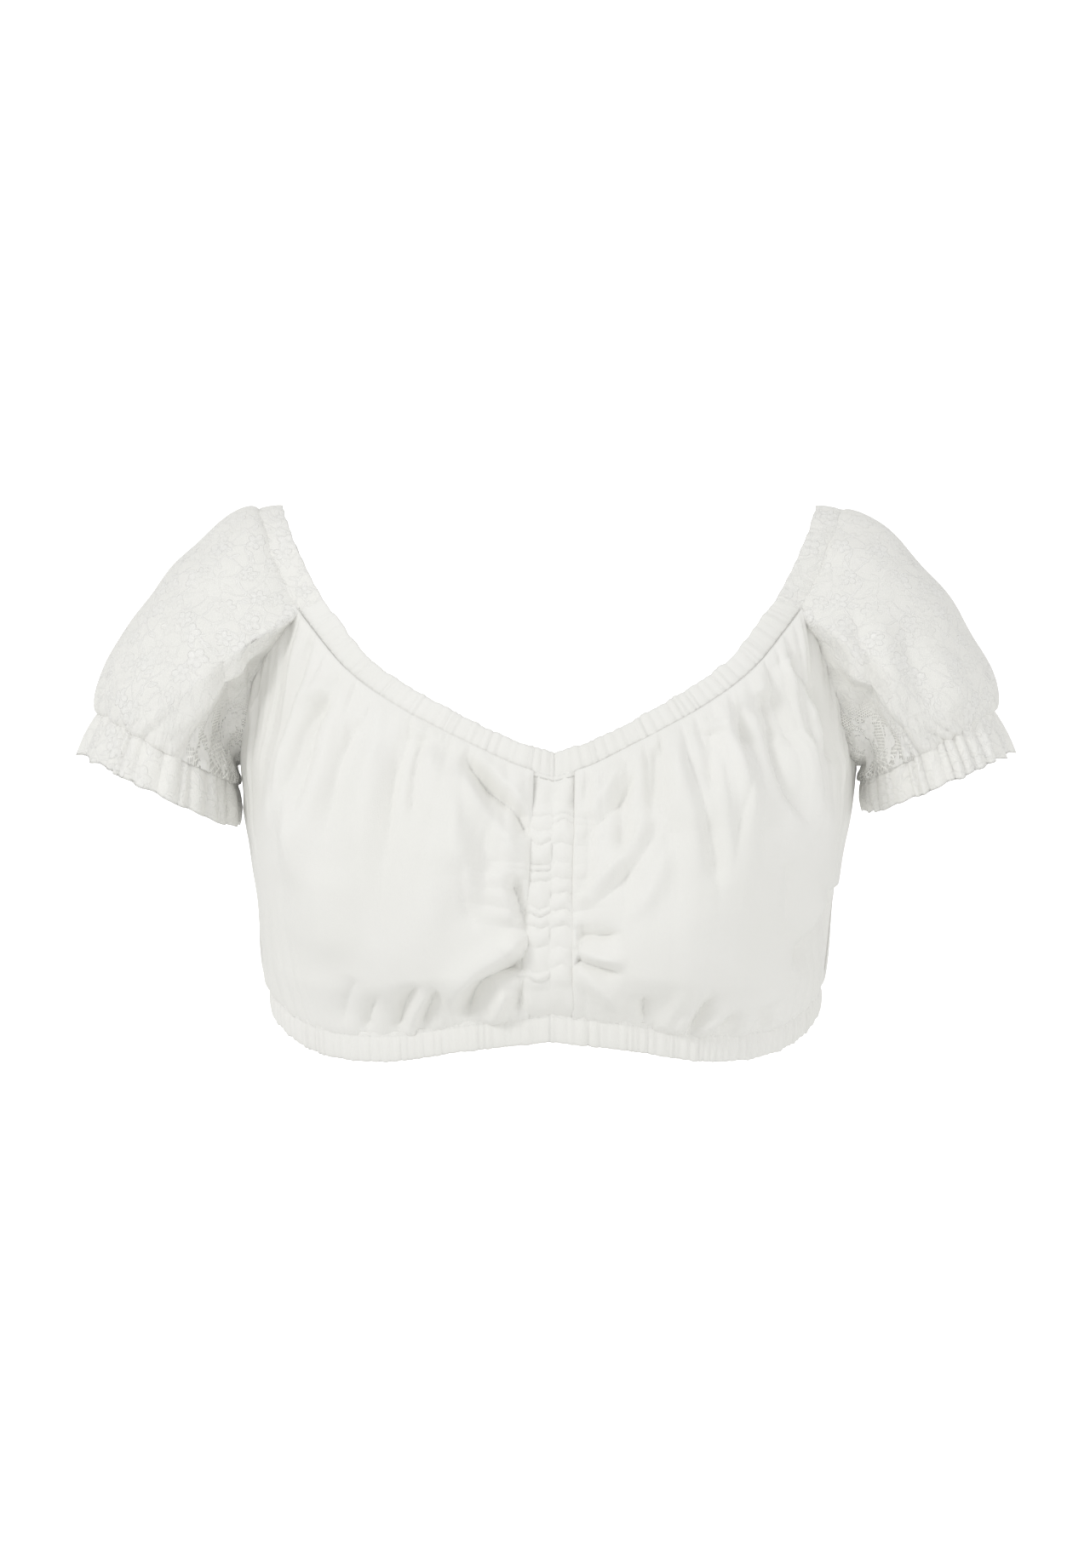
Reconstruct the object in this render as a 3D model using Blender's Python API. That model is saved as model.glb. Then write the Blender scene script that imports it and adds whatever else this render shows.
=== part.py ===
"""A worn dirndl blouse: ten pieces of cloth round an empty torso and two empty arms.

The front faces -Y, +X is to the right as seen from the front, and +Z is up. The origin lies midway
between the two highest points of the neck edge. Sizes are in millimetres until a mesh is made.
"""

import bmesh
import bpy
import numpy as np

MM = 0.001

# Cloth and seams
WALL = 1.6
LACE_WALL = 1.1
SEAM_GAP = 0.3
SAME_POINT = 0.05
EDGE_SHARES = (0.7, 0.4, 0.15)
CASING_WALL = 2.6
CUFF_WALL = 2.0
NECK_GATHER = 1.5
HEM_GATHER = 1.7
CUFF_GATHER = 2.0
RUCHE_GATHER = 1.6
CHANNEL_PUFF = 1.6
HEM_CASING_WIDTH = 14.5
CENTRE_SHIFT = 2.5
CENTRE_SHIFT_REACH = 60.0

# Columns of each panel at its seams, which both pieces of a seam share
CHANNEL_COLUMNS = 6
FRONT_NECK_COLUMNS = 18
FRONT_RAGLAN_COLUMNS = 8
SLEEVE_NECK_COLUMNS = 12
BACK_RAGLAN_COLUMNS = 6
BACK_NECK_COLUMNS = 12
BODY_ROWS = 14
SLEEVE_ROWS = 9
RUCHE_COUNT = 12
ROWS_PER_RUCHE = 3
PLAIN_ROWS_ABOVE = 4
PLAIN_ROWS_BELOW = 3
CHANNEL_HALF_WIDTH = 11.0
RUCHE_TOP = -166.0
RUCHE_BOTTOM = -252.0

# The torso form, from the hem up: each section's level, middle, half width, depth in front, depth
# behind, and how far the bust stands out of it
TORSO = np.array([
    (-300, -1.6, 144.5, 88.0, 94.0, 0.0),
    (-272, -1.8, 146.0, 90.0, 95.0, 8.0),
    (-250, -2.2, 148.0, 93.0, 97.0, 20.0),
    (-228, -2.2, 151.5, 95.0, 99.0, 28.0),
    (-195, -1.6, 157.0, 96.0, 101.0, 32.0),
    (-165, -0.5, 162.0, 97.0, 101.0, 28.0),
    (-143, 0.0, 164.5, 98.0, 101.0, 20.0),
    (-121, 0.0, 164.5, 99.0, 100.0, 11.0),
    (-100, 0.0, 163.0, 100.0, 99.0, 5.0),
    (-80, 0.0, 161.0, 101.0, 98.0, 1.0),
    (-50, 0.0, 158.0, 101.0, 96.0, 0.0),
], dtype=float)
BUST_ANGLE = 26.0
BUST_SPREAD_IN = 19.0
BUST_SPREAD_OUT = 32.0

# The hem's lower edge, from the front centre to the back centre: angle in degrees and level
HEM = np.array([
    (0, -284.5),
    (17, -289.5),
    (34, -295.5),
    (50, -294.5),
    (64, -288.0),
    (77, -279.0),
    (90, -272.5),
    (130, -276.0),
    (180, -280.0),
], dtype=float)
BLOUSE_PUFF = 5.5
BLOUSE_RISE = 11.0
BLOUSE_SIDE_LOSS = 0.6
BUST_RISE = 26.0

# Half of the neck casing, from the front centre over the shoulder to the back centre: a point of its
# free edge and a point of the seam along its lower edge
NECK = np.array([
    (0, -98, -134.3, 0, -101, -148),
    (15, -97.5, -130, 18, -100.5, -143),
    (35, -95, -121.3, 40, -98, -133),
    (53.5, -91.5, -111.3, 60, -94, -123),
    (70, -87.5, -102, 78, -89, -113),
    (96, -76.5, -83, 106, -76, -92),
    (110.5, -65.5, -64, 122.5, -63, -72),
    (118.5, -59, -54, 132, -54.5, -59),
    (128, -48, -37, 142, -44, -41),
    (137, -33, -18, 151, -29.5, -20),
    (144, 0, -1.2, 158, 0, -3),
    (141, 29, -17, 154, 29, -22),
    (131, 49, -54, 142.5, 52, -62),
    (121, 60, -79, 131.5, 65, -88),
    (104, 72.5, -101, 112, 79, -112),
    (66, 87, -128, 70, 94, -141),
    (0, 96, -143, 0, 102.5, -157),
], dtype=float)
FRONT_CORNER_ROW = 7
BACK_CORNER_ROW = 13

# The raglan seams, from the neck casing down to the underarm
FRONT_RAGLAN = {
    -1: np.array([
        (132, -54.5, -59),
        (145, -43, -74),
        (153, -34, -88),
        (159, -25, -103),
        (162, -17, -122),
        (164.5, 0, -139),
    ], dtype=float),
    1: np.array([
        (132, -54.5, -59),
        (141.5, -48, -75),
        (149.5, -41, -98),
        (155, -33, -118),
        (160, -19, -133),
        (164.5, 0, -139),
    ], dtype=float),
}
BACK_RAGLAN = np.array([
    (131.5, 65, -88),
    (148, 51, -104),
    (159, 33, -121),
    (163, 17, -133),
    (164.5, 0, -139),
], dtype=float)

# The sleeves' mouths: the upper and the lower ring of each cuff, each with the x and z of its outer
# end, the x and z of its inner end, and its half depth
CUFFS = {
    -1: np.array([(241.0, -110, 169.5, -150, 50), (251, -134, 169, -175, 55)], dtype=float),
    1: np.array([(238.0, -109, 169.5, -148, 50), (248, -133, 172, -167, 55)], dtype=float),
}
# Height of a sleeve's puff round the sleeve, from the underarm over the front: turn and height
SLEEVE_PUFF = np.array([
    (0.0, 6.0),
    (0.12, 7.0),
    (0.28, 14.5),
    (0.5, 17.5),
    (0.72, 15.0),
    (0.88, 7.0),
    (1.0, 6.0),
], dtype=float)

# Folds of the fronts, seen from the front: x and z of both ends, height out of the cloth (below zero
# a crease) and half width
FOLDS = np.array([
    (-105, -98, -150, -183, 2.6, 7),
    (-94, -109, -133, -206, 2.2, 7),
    (-119, -105, -148, -160, -1.6, 5),
    (-69, -141, -71, -180, 2.0, 7),
    (-74, -126, -77, -185, -2.0, 5),
    (-48, -157, -40, -215, 2.8, 8),
    (-45, -140, -12, -178, -3.6, 6),
    (-26, -196, -12, -226, -3.2, 5),
    (-58, -172, -62, -240, 1.4, 9),
    (-24, -236, -12, -232, 3.0, 5),
    (-9, -241, -45, -278, -3.8, 5.5),
    (-14, -250, -20, -271, -2.4, 4),
    (-64, -258, -80, -277, -1.6, 5),
    (-112, -190, -116, -250, 1.3, 10),
    (39, -142, 20, -170, 2.2, 6),
    (51, -164, 18, -212, 2.6, 6),
    (54, -132, 52, -172, -1.8, 5),
    (83, -128, 84, -160, -2.0, 6),
    (79, -170, 88, -200, -1.4, 6),
    (86, -120, 108, -178, 2.2, 7),
    (111, -103, 122, -152, -3.0, 7),
    (122, -152, 136, -176, -2.2, 6),
    (137, -152, 147, -182, 2.6, 8),
    (125, -187, 125, -226, -1.6, 7),
    (49, -266, 48, -281, -1.8, 4),
    (61, -281, 84, -256, 1.8, 5),
    (71, -288, 92, -269, 1.8, 5),
    (90, -290, 111, -275, 1.8, 5),
    (14, -236, 40, -244, 1.6, 5),
], dtype=float)
FOLD_MARGIN = 9.0
FOLD_SIDEWAYS = 0.6
TOP_EDGE_POWER = 3
CHANNEL_FADE = 0.08
RUCHE_BETWEEN = 0.35
EDGE_ROUND = 0.4
CASING_BELLY = 0.35
CUFF_PINCH = 2.5
GATHER_AT_SEAM = 0.7
GATHER_AT_EDGE = 0.45
GATHER_RISE = 0.3
EDGE_WALL_SHARE = 0.7
UNDERARM_LIFT = 0.8
UNDERARM_REACH = 1.5
RING_PAD = 2

COTTON = ("cotton", (0.90, 0.90, 0.865, 1.0), 0.85)
LACE = ("lace", (0.86, 0.86, 0.82, 1.0), 0.6)


def unit(vectors):
    """Vectors of length one."""
    lengths = np.linalg.norm(vectors, axis=-1, keepdims=True)
    return vectors / np.maximum(lengths, 1e-9)


def curve_through(rows, places, at):
    """A smooth curve through rows at places, read at other places: cubic arcs with shared slopes."""
    rows = np.asarray(rows, dtype=float)
    at = np.asarray(at, dtype=float)
    slopes = np.gradient(rows, places, axis=0)
    index = np.clip(np.searchsorted(places, at, side="right") - 1, 0, len(places) - 2)
    span = (places[index + 1] - places[index])[..., None]
    part = np.clip((at[..., None] - places[index][..., None]) / span, 0.0, 1.0)
    start = (1 + 2 * part) * (1 - part) ** 2 * rows[index]
    end = (3 - 2 * part) * part ** 2 * rows[index + 1]
    leave = part * (1 - part) ** 2 * span * slopes[index]
    arrive = (part - 1) * part ** 2 * span * slopes[index + 1]
    return start + end + leave + arrive


def lengths_along(points):
    """Distance from the first point to each point."""
    steps = np.linalg.norm(np.diff(points, axis=0), axis=1)
    return np.concatenate(([0.0], np.cumsum(steps)))


def even_points(points, count):
    """Points at even distances on the smooth curve through the given ones."""
    places = lengths_along(points)
    return curve_through(points, places, np.linspace(0.0, places[-1], count + 1))


def smooth_step(value):
    """0 below 0, 1 above 1, and a soft rise between."""
    value = np.clip(value, 0.0, 1.0)
    return value * value * (3 - 2 * value)


def hem_level(angle):
    """Level of the hem's lower edge at an angle from the front centre, in degrees."""
    folded = np.abs((angle + 180.0) % 360.0 - 180.0)
    return curve_through(HEM[:, 1:], HEM[:, 0], folded)[..., 0]


def torso_section(level):
    """The torso form's sizes at levels: middle, half width, depth in front and behind, and bust."""
    return np.moveaxis(curve_through(TORSO[:, 1:], TORSO[:, 0], level), -1, 0)


def torso(angle, level):
    """Points of the torso form at angles from the front centre, in degrees, and at levels."""
    angle, level = np.broadcast_arrays(np.asarray(angle, float), np.asarray(level, float))
    middle, width, front, back, bust = torso_section(level)
    folded = np.abs((angle + 180.0) % 360.0 - 180.0)
    height_above_hem = level - hem_level(angle) - HEM_CASING_WIDTH
    spread = np.where(folded < BUST_ANGLE, BUST_SPREAD_IN, BUST_SPREAD_OUT)
    lobe = bust * np.exp(-((folded - BUST_ANGLE) / spread) ** 2)
    lobe = lobe * smooth_step(height_above_hem / BUST_RISE)
    rise = np.maximum(height_above_hem, 0.0) / BLOUSE_RISE
    sine, cosine = np.sin(np.radians(angle)), np.cos(np.radians(angle))
    puff = BLOUSE_PUFF * rise * np.exp(1.0 - rise) * (1.0 - BLOUSE_SIDE_LOSS * sine ** 2)
    depth = np.where(cosine > 0, front, back)
    out = lobe + puff
    return np.stack((middle + (width + out) * sine, -(depth + out) * cosine, level), axis=-1)


def place_on_torso(points):
    """Angle and level of the torso form nearest to each point."""
    middle, width, front, back, _ = torso_section(points[:, 2])
    depth = np.where(points[:, 1] < 0, front, back)
    angle = np.degrees(np.arctan2((points[:, 0] - middle) / width, -points[:, 1] / depth))
    return angle % 360.0, points[:, 2]


def shift_centre(points):
    """The front centre lies a little to the right of the middle, and the rest follows softly."""
    near = np.exp(-(points[..., 0] / CENTRE_SHIFT_REACH) ** 2)
    in_front = smooth_step(-points[..., 1] / CENTRE_SHIFT_REACH)
    moved = points.copy()
    moved[..., 0] += CENTRE_SHIFT * near * in_front
    return moved


def fold_height(points):
    """Height of the folds at points of the fronts, from where they lie as seen from the front."""
    height = np.zeros(points.shape[:-1])
    for start_x, start_z, end_x, end_z, rise, reach in FOLDS:
        run = np.array((end_x - start_x, end_z - start_z))
        away = points[..., (0, 2)] - np.array((start_x, start_z))
        along = (away @ run) / (run @ run)
        held = np.clip(along, 0.0, 1.0)
        distance = np.linalg.norm(away - held[..., None] * run, axis=-1)
        height += rise * np.exp(-(distance / reach) ** 2)
    return height


def mirrored(points, side):
    """Points on the given side: 1 keeps +X, -1 turns to -X."""
    return points * np.array((side, 1.0, 1.0))


class Neck:
    """The neck ring: seam points that panels share, and the free edge above them."""

    def __init__(self):
        seam = NECK[:, 3:]
        self.places = lengths_along(seam)
        self.channel = CHANNEL_HALF_WIDTH
        self.front_corner = self.places[FRONT_CORNER_ROW]
        self.back_corner = self.places[BACK_CORNER_ROW]
        self.back_centre = self.places[-1]

    def half(self, place):
        """Edge and seam points at distances from the front centre, and below zero to its left."""
        rows = curve_through(NECK, self.places, np.abs(place))
        side = np.where(np.asarray(place) < 0, -1.0, 1.0)
        rows[:, 0] *= side
        rows[:, 3] *= side
        return rows[:, :3], rows[:, 3:]

    def span_places(self, name, side=1):
        """Places of a panel's columns, from the front centre towards the back."""
        if name == "channel":
            return np.linspace(-self.channel, self.channel, CHANNEL_COLUMNS + 1)
        if name == "front":
            return side * np.linspace(self.channel, self.front_corner, FRONT_NECK_COLUMNS + 1)
        if name == "sleeve":
            return side * np.linspace(self.front_corner, self.back_corner, SLEEVE_NECK_COLUMNS + 1)
        half = np.linspace(self.back_corner, self.back_centre, BACK_NECK_COLUMNS // 2 + 1)
        return np.concatenate((half, -half[-2::-1]))

    def seam(self, name, side=1):
        """Seam points of a panel."""
        return self.half(self.span_places(name, side))[1]

    def edge(self, name, side=1):
        """Points of the free edge over a panel."""
        return shift_centre(self.half(self.span_places(name, side))[0])


class Cloth:
    """A wall of cloth: a grid of points, rows by columns, with a direction out at each point."""

    def __init__(self, name, grid, finish, wall, wrap=False):
        self.name = name
        self.grid = grid
        self.finish = finish
        self.wrap = wrap
        self.outer = np.full(grid.shape[:2], wall / 2)
        self.inner = np.full(grid.shape[:2], wall / 2)
        self.moves = np.zeros(grid.shape)
        self.normals = self.make_normals()

    def make_normals(self):
        """Directions out of the cloth, from the steps to the neighbours of each point."""
        grid = self.grid
        if self.wrap:
            across = np.roll(grid, -1, axis=1) - np.roll(grid, 1, axis=1)
        else:
            across = np.gradient(grid, axis=1)
        along = np.gradient(grid, axis=0)
        return unit(np.cross(across, along))

    def turn_away_from(self, middle):
        """Turns the directions so that they point away from the middle line of the form."""
        if np.sum(self.normals * (self.grid - middle)) < 0:
            self.normals = -self.normals

    def border(self):
        """Rows and columns of the grid's border points."""
        rows, columns = self.grid.shape[:2]
        places = [(row, column) for row in (0, rows - 1) for column in range(columns)]
        if not self.wrap:
            places += [(row, column) for row in range(1, rows - 1) for column in (0, columns - 1)]
        return np.array(places)

    def soften_normals(self):
        """Turns the directions of the rows next to an edge part of the way to the edge's own."""
        for edge_row, inward in ((0, 1), (-1, -1)):
            for number, share in enumerate(EDGE_SHARES, start=1):
                row = edge_row + inward * number
                edge = share * self.normals[edge_row]
                self.normals[row] = unit(edge + (1 - share) * self.normals[row])

    def vertices(self):
        """Outer and inner points after the seams have parted."""
        middle = self.grid + self.moves
        outer = middle + self.normals * self.outer[..., None]
        inner = middle - self.normals * self.inner[..., None]
        return outer, inner


def share_normals(cloths):
    """Pieces that meet at a point get one direction out there, so that their rims lie parallel."""
    borders = [cloth.border() for cloth in cloths]
    points = np.concatenate([cloth.grid[at[:, 0], at[:, 1]] for cloth, at in zip(cloths, borders)])
    normals = np.concatenate([cloth.normals[at[:, 0], at[:, 1]] for cloth, at in zip(cloths, borders)])
    apart = np.linalg.norm(points[:, None] - points[None, :], axis=-1)
    shared = unit((apart < SAME_POINT).astype(float) @ normals)
    start = 0
    for cloth, at in zip(cloths, borders):
        cloth.normals[at[:, 0], at[:, 1]] = shared[start:start + len(at)]
        cloth.soften_normals()
        start += len(at)


def seam_step(points, before, after, closed=False):
    """Unit steps across a seam, from the points before it to those after it, square to the seam."""
    if closed:
        tangent = unit(np.roll(points, -1, axis=0) - np.roll(points, 1, axis=0))
    else:
        tangent = unit(np.gradient(points, axis=0))
    here, there = before - points, after - points
    here = unit(here - np.sum(here * tangent, axis=1, keepdims=True) * tangent)
    there = unit(there - np.sum(there * tangent, axis=1, keepdims=True) * tangent)
    return unit(there - here)


def part_seam(first, at_first, near_first, second, at_second, near_second):
    """Draws two pieces half a seam gap back from the seam that they share, point for point.

    Both pieces then stand square to the step across the seam, on the first piece's outer side.
    """
    points = first.grid[at_first]
    step = seam_step(points, first.grid[near_first], second.grid[near_second])
    out = np.cross(unit(np.gradient(points, axis=0)), step)
    out = unit(out * np.sign(np.sum(out * first.normals[at_first], axis=1, keepdims=True)))
    for cloth, at, sign in ((first, at_first, -1), (second, at_second, 1)):
        cloth.moves[at] += sign * step * SEAM_GAP / 2
        cloth.normals[at] = out


def panel_grid(bottom_angles, top_points):
    """Rows of points on the torso form from the hem casing's seam up to the top points."""
    top_angles, top_levels = place_on_torso(top_points)
    bottom_levels = hem_level(bottom_angles) + HEM_CASING_WIDTH
    rest = top_points - torso(top_angles, top_levels)
    grid = []
    for part in np.linspace(0.0, 1.0, BODY_ROWS + 1):
        angles = bottom_angles + ((top_angles - bottom_angles + 180) % 360 - 180) * part
        levels = bottom_levels + (top_levels - bottom_levels) * part
        grid.append(torso(angles, levels) + rest * part ** TOP_EDGE_POWER)
    return np.array(grid)


def front_top(neck, side):
    """A front's top edge: the neck seam from the channel to the corner, then the raglan seam."""
    neck_points = neck.seam("front", side)
    raglan = mirrored(even_points(FRONT_RAGLAN[side], FRONT_RAGLAN_COLUMNS), side)
    return np.concatenate((neck_points, raglan[1:]))


def channel_angle():
    """Angle of the channel's edge at the hem casing."""
    return np.degrees(np.arcsin(CHANNEL_HALF_WIDTH / TORSO[0, 2]))


def make_front(neck, side, name):
    """One front panel, with its folds, from the channel to the underarm."""
    top = front_top(neck, side)
    columns = FRONT_NECK_COLUMNS + FRONT_RAGLAN_COLUMNS
    grid = shift_centre(panel_grid(front_angles(side, columns), top))
    edges = (grid[:1], grid[-1:], grid[:, :1], grid[:, -1:])
    to_edge = np.min([np.linalg.norm(grid - edge, axis=-1) for edge in edges], axis=0)
    out = unit(grid * np.array((FOLD_SIDEWAYS, 1.0, 0.0)))
    grid = grid + out * (fold_height(grid) * smooth_step(to_edge / FOLD_MARGIN))[..., None]
    cloth = Cloth(name, grid, COTTON, WALL)
    cloth.turn_away_from(grid * np.array((0.0, 0.0, 1.0)))
    return cloth


def front_angles(side, columns):
    """Angles of a front's columns at the hem casing, from the channel to the side seam."""
    first = channel_angle()
    return side * np.linspace(first, 90.0, columns + 1)


def ruche_rows():
    """Levels of the channel's rows as parts of its height, and the gathers' height at each."""
    bottom = HEM[0, 1] + HEM_CASING_WIDTH
    top = NECK[0, 5]
    low = np.linspace(bottom, RUCHE_BOTTOM, PLAIN_ROWS_BELOW + 1)[:-1]
    waves = np.arange(RUCHE_COUNT * ROWS_PER_RUCHE + 1)
    middle = RUCHE_BOTTOM + (RUCHE_TOP - RUCHE_BOTTOM) * waves / waves[-1]
    high = np.linspace(RUCHE_TOP, top, PLAIN_ROWS_ABOVE + 1)[1:]
    lift = gather_shape(waves / ROWS_PER_RUCHE)
    lifts = np.concatenate((np.zeros(len(low)), lift, np.zeros(len(high))))
    levels = np.concatenate((low, middle, high))
    return (levels - bottom) / (top - bottom), lifts


def gather_shape(count):
    """Height of one gather over its width: a round crest between sharp valleys."""
    part = count - np.floor(count)
    return 1.0 - (2.0 * part - 1.0) ** 2


def make_channel(left, right, neck):
    """The strip down the centre front: two puffed channels, gathered across."""
    parts, lifts = ruche_rows()
    sides = {0: left, CHANNEL_COLUMNS: right}
    lines = {column: read_line(front.grid[:, 0], parts) for column, front in sides.items()}
    across = np.linspace(0.0, 1.0, CHANNEL_COLUMNS + 1)
    grid = lines[0][:, None] + (lines[CHANNEL_COLUMNS] - lines[0])[:, None] * across[:, None]
    grid[-1] = shift_centre(neck.seam("channel"))
    grid[0] = hem_points(channel_angle() * (2 * across - 1), HEM_CASING_WIDTH)
    puff = np.abs(np.sin(2 * np.pi * across))
    fade = smooth_step(np.minimum(parts, 1.0 - parts) / CHANNEL_FADE)
    cloth = Cloth("centre_casing", grid, COTTON, WALL)
    cloth.turn_away_from(grid * np.array((0.0, 0.0, 1.0)))
    ruche = RUCHE_GATHER * lifts[:, None] * (RUCHE_BETWEEN + (1 - RUCHE_BETWEEN) * puff)
    cloth.outer += CHANNEL_PUFF * puff * fade[:, None] + ruche
    return cloth


def part_channel(channel, fronts):
    """Parts the channel's long seams, along which it has more rows than the fronts."""
    parts, _ = ruche_rows()
    rows = np.linspace(0.0, 1.0, BODY_ROWS + 1)
    for column, beside, front in ((0, 1, fronts[-1]), (-1, -2, fronts[1])):
        line = channel.grid[:, beside]
        inside = np.stack([np.interp(rows, parts, line[:, axis]) for axis in range(3)], axis=-1)
        step = seam_step(front.grid[:, 0], front.grid[:, 1], inside)
        front.moves[:, 0] -= step * SEAM_GAP / 2
        channel.moves[:, column] += unit(read_line(step, parts)) * SEAM_GAP / 2
        channel.normals[:, column] = unit(read_line(front.normals[:, 0], parts))


def make_back(neck):
    """The back panel, from side seam to side seam round the back."""
    right = even_points(BACK_RAGLAN, BACK_RAGLAN_COLUMNS)[::-1]
    left = mirrored(right, -1.0)[::-1]
    top = np.concatenate((right[:-1], neck.seam("back"), left[1:]))
    columns = BACK_NECK_COLUMNS + 2 * BACK_RAGLAN_COLUMNS
    grid = shift_centre(panel_grid(np.linspace(90.0, 270.0, columns + 1), top))
    cloth = Cloth("back", grid, COTTON, WALL)
    cloth.turn_away_from(grid * np.array((0.0, 0.0, 1.0)))
    return cloth


def armhole(neck, side):
    """The sleeve's upper edge: up the front raglan, over the shoulder, down the back raglan."""
    front = mirrored(even_points(FRONT_RAGLAN[side], FRONT_RAGLAN_COLUMNS), side)[::-1]
    back = mirrored(even_points(BACK_RAGLAN, BACK_RAGLAN_COLUMNS), side)
    return shift_centre(np.concatenate((front[:-1], neck.seam("sleeve", side), back[1:-1])))


def cuff_ring(side, row, turns):
    """Points round one ring of a cuff: turn 0 is its inner end, 0.25 its front, 0.5 its outer end."""
    outer_x, outer_z, inner_x, inner_z, half_depth = CUFFS[side][row]
    middle = np.array((outer_x + inner_x, 0.0, outer_z + inner_z)) / 2
    half = np.array((inner_x - outer_x, 0.0, inner_z - outer_z)) / 2
    angles = 2 * np.pi * turns[:, None]
    ring = middle + half * np.cos(angles) - np.array((0.0, half_depth, 0.0)) * np.sin(angles)
    return mirrored(ring, side)


def make_sleeve(neck, side, name):
    """One puffed sleeve, from the armhole and the neck casing to the cuff."""
    loop = armhole(neck, side)
    turns = np.arange(len(loop)) / len(loop)
    mouth = cuff_ring(side, 0, turns)
    heights = curve_through(SLEEVE_PUFF[:, 1:], SLEEVE_PUFF[:, 0], turns)
    chord = unit(mouth - loop)
    loop_middle, mouth_middle = loop.mean(axis=0), mouth.mean(axis=0)
    roundness = (0.5 - 0.5 * np.cos(2 * np.pi * turns[:, None])) ** 2
    away = np.clip(UNDERARM_REACH * np.cos(2 * np.pi * turns), 0.0, 1.0)[:, None]
    rows = []
    for part in np.linspace(0.0, 1.0, SLEEVE_ROWS + 1):
        rounded = (1 - np.cos(np.pi * part)) / 2
        place = part + (rounded - part) * roundness
        straight = loop + (mouth - loop) * place
        out = straight - (loop_middle + (mouth_middle - loop_middle) * place)
        out = unit(out - np.sum(out * chord, axis=1, keepdims=True) * chord)
        out = unit(out + away * (np.array((side, 0.0, UNDERARM_LIFT)) - out))
        rows.append(straight + out * heights * np.sin(np.pi * part))
    grid = np.array(rows)
    cloth = Cloth(name, grid, LACE, LACE_WALL, wrap=True)
    cloth.turn_away_from(grid.mean(axis=1, keepdims=True))
    return cloth


def casing_columns(spans):
    """Places of a casing's columns, counted in panel columns, and the gathers passed at each."""
    places, gathers = [], []
    start, passed = 0, 0.0
    for columns, parts_per_column, gathers_per_column in spans:
        steps = np.arange(columns * parts_per_column) / parts_per_column
        places.append(start + steps)
        gathers.append(passed + steps * gathers_per_column)
        start += columns
        passed += columns * gathers_per_column
    return np.concatenate(places), np.concatenate(gathers)


def read_line(values, parts):
    """Values along a line of even places, read between them along straight lines."""
    places = np.linspace(0.0, 1.0, len(values))
    return np.stack([np.interp(parts, places, values[:, axis]) for axis in range(3)], axis=-1)


def read_ring(values, places):
    """Values round a closed ring, read between its points along straight lines."""
    first = np.floor(places).astype(int)
    part = (places - first)[:, None]
    count = len(values)
    return values[first % count] * (1 - part) + values[(first + 1) % count] * part


def smooth_ring(values, places):
    """Values round a closed ring, read along a smooth curve through its points."""
    padded = np.concatenate((values[-RING_PAD:], values, values[:RING_PAD]))
    return curve_through(padded, np.arange(len(padded)) - float(RING_PAD), places)


class Ring:
    """The closed seam between a casing and the pieces that it gathers."""

    def __init__(self):
        self.cloths, self.rows, self.columns, self.near_rows = [], [], [], []
        self.edge = []
        self.spans = []

    def add(self, cloth, row, columns, edge, columns_each, gathers_each):
        """Adds a piece's stretch of the seam, without its last point, which the next piece gives.

        The casing has columns_each columns and gathers_each gathers for each column of the piece.
        """
        self.spans.append((len(columns) - 1, columns_each, gathers_each))
        near = 1 if row == 0 else row - 1
        for column, point in zip(columns[:-1], edge[:-1]):
            self.cloths.append(cloth)
            self.rows.append(row)
            self.columns.append(column)
            self.near_rows.append(near)
            self.edge.append(point)

    def read(self, name, rows):
        """One value of the pieces' grids for each point of the seam."""
        places = zip(self.cloths, rows, self.columns)
        return np.array([getattr(cloth, name)[row, column] for cloth, row, column in places])

    def part(self, cloths):
        """Parts the pieces from the casing, and stands them square to the step across the seam."""
        self.seam = self.read("grid", self.rows)
        self.step = seam_step(self.seam, self.read("grid", self.near_rows), np.array(self.edge), True)
        tangent = unit(np.roll(self.seam, -1, axis=0) - np.roll(self.seam, 1, axis=0))
        out = np.cross(tangent, self.step)
        out = unit(out * np.sign(np.sum(out * self.read("normals", self.rows), axis=1, keepdims=True)))
        pairs = zip(self.cloths, self.cloths[-1:] + self.cloths)
        shared = np.array([cloth is not before for cloth, before in pairs])
        for cloth in cloths:
            at = cloth.border()
            apart = np.linalg.norm(cloth.grid[at[:, 0], at[:, 1]][:, None] - self.seam[None, :], axis=-1)
            for place in np.argwhere(apart < SAME_POINT):
                row, column = at[place[0]]
                cloth.moves[row, column] -= self.step[place[1]] * SEAM_GAP / 2
                at_corner = shared[place[1]]
                own = at_corner * cloth.normals[row, column]
                cloth.normals[row, column] = unit(out[place[1]] + own)


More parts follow.
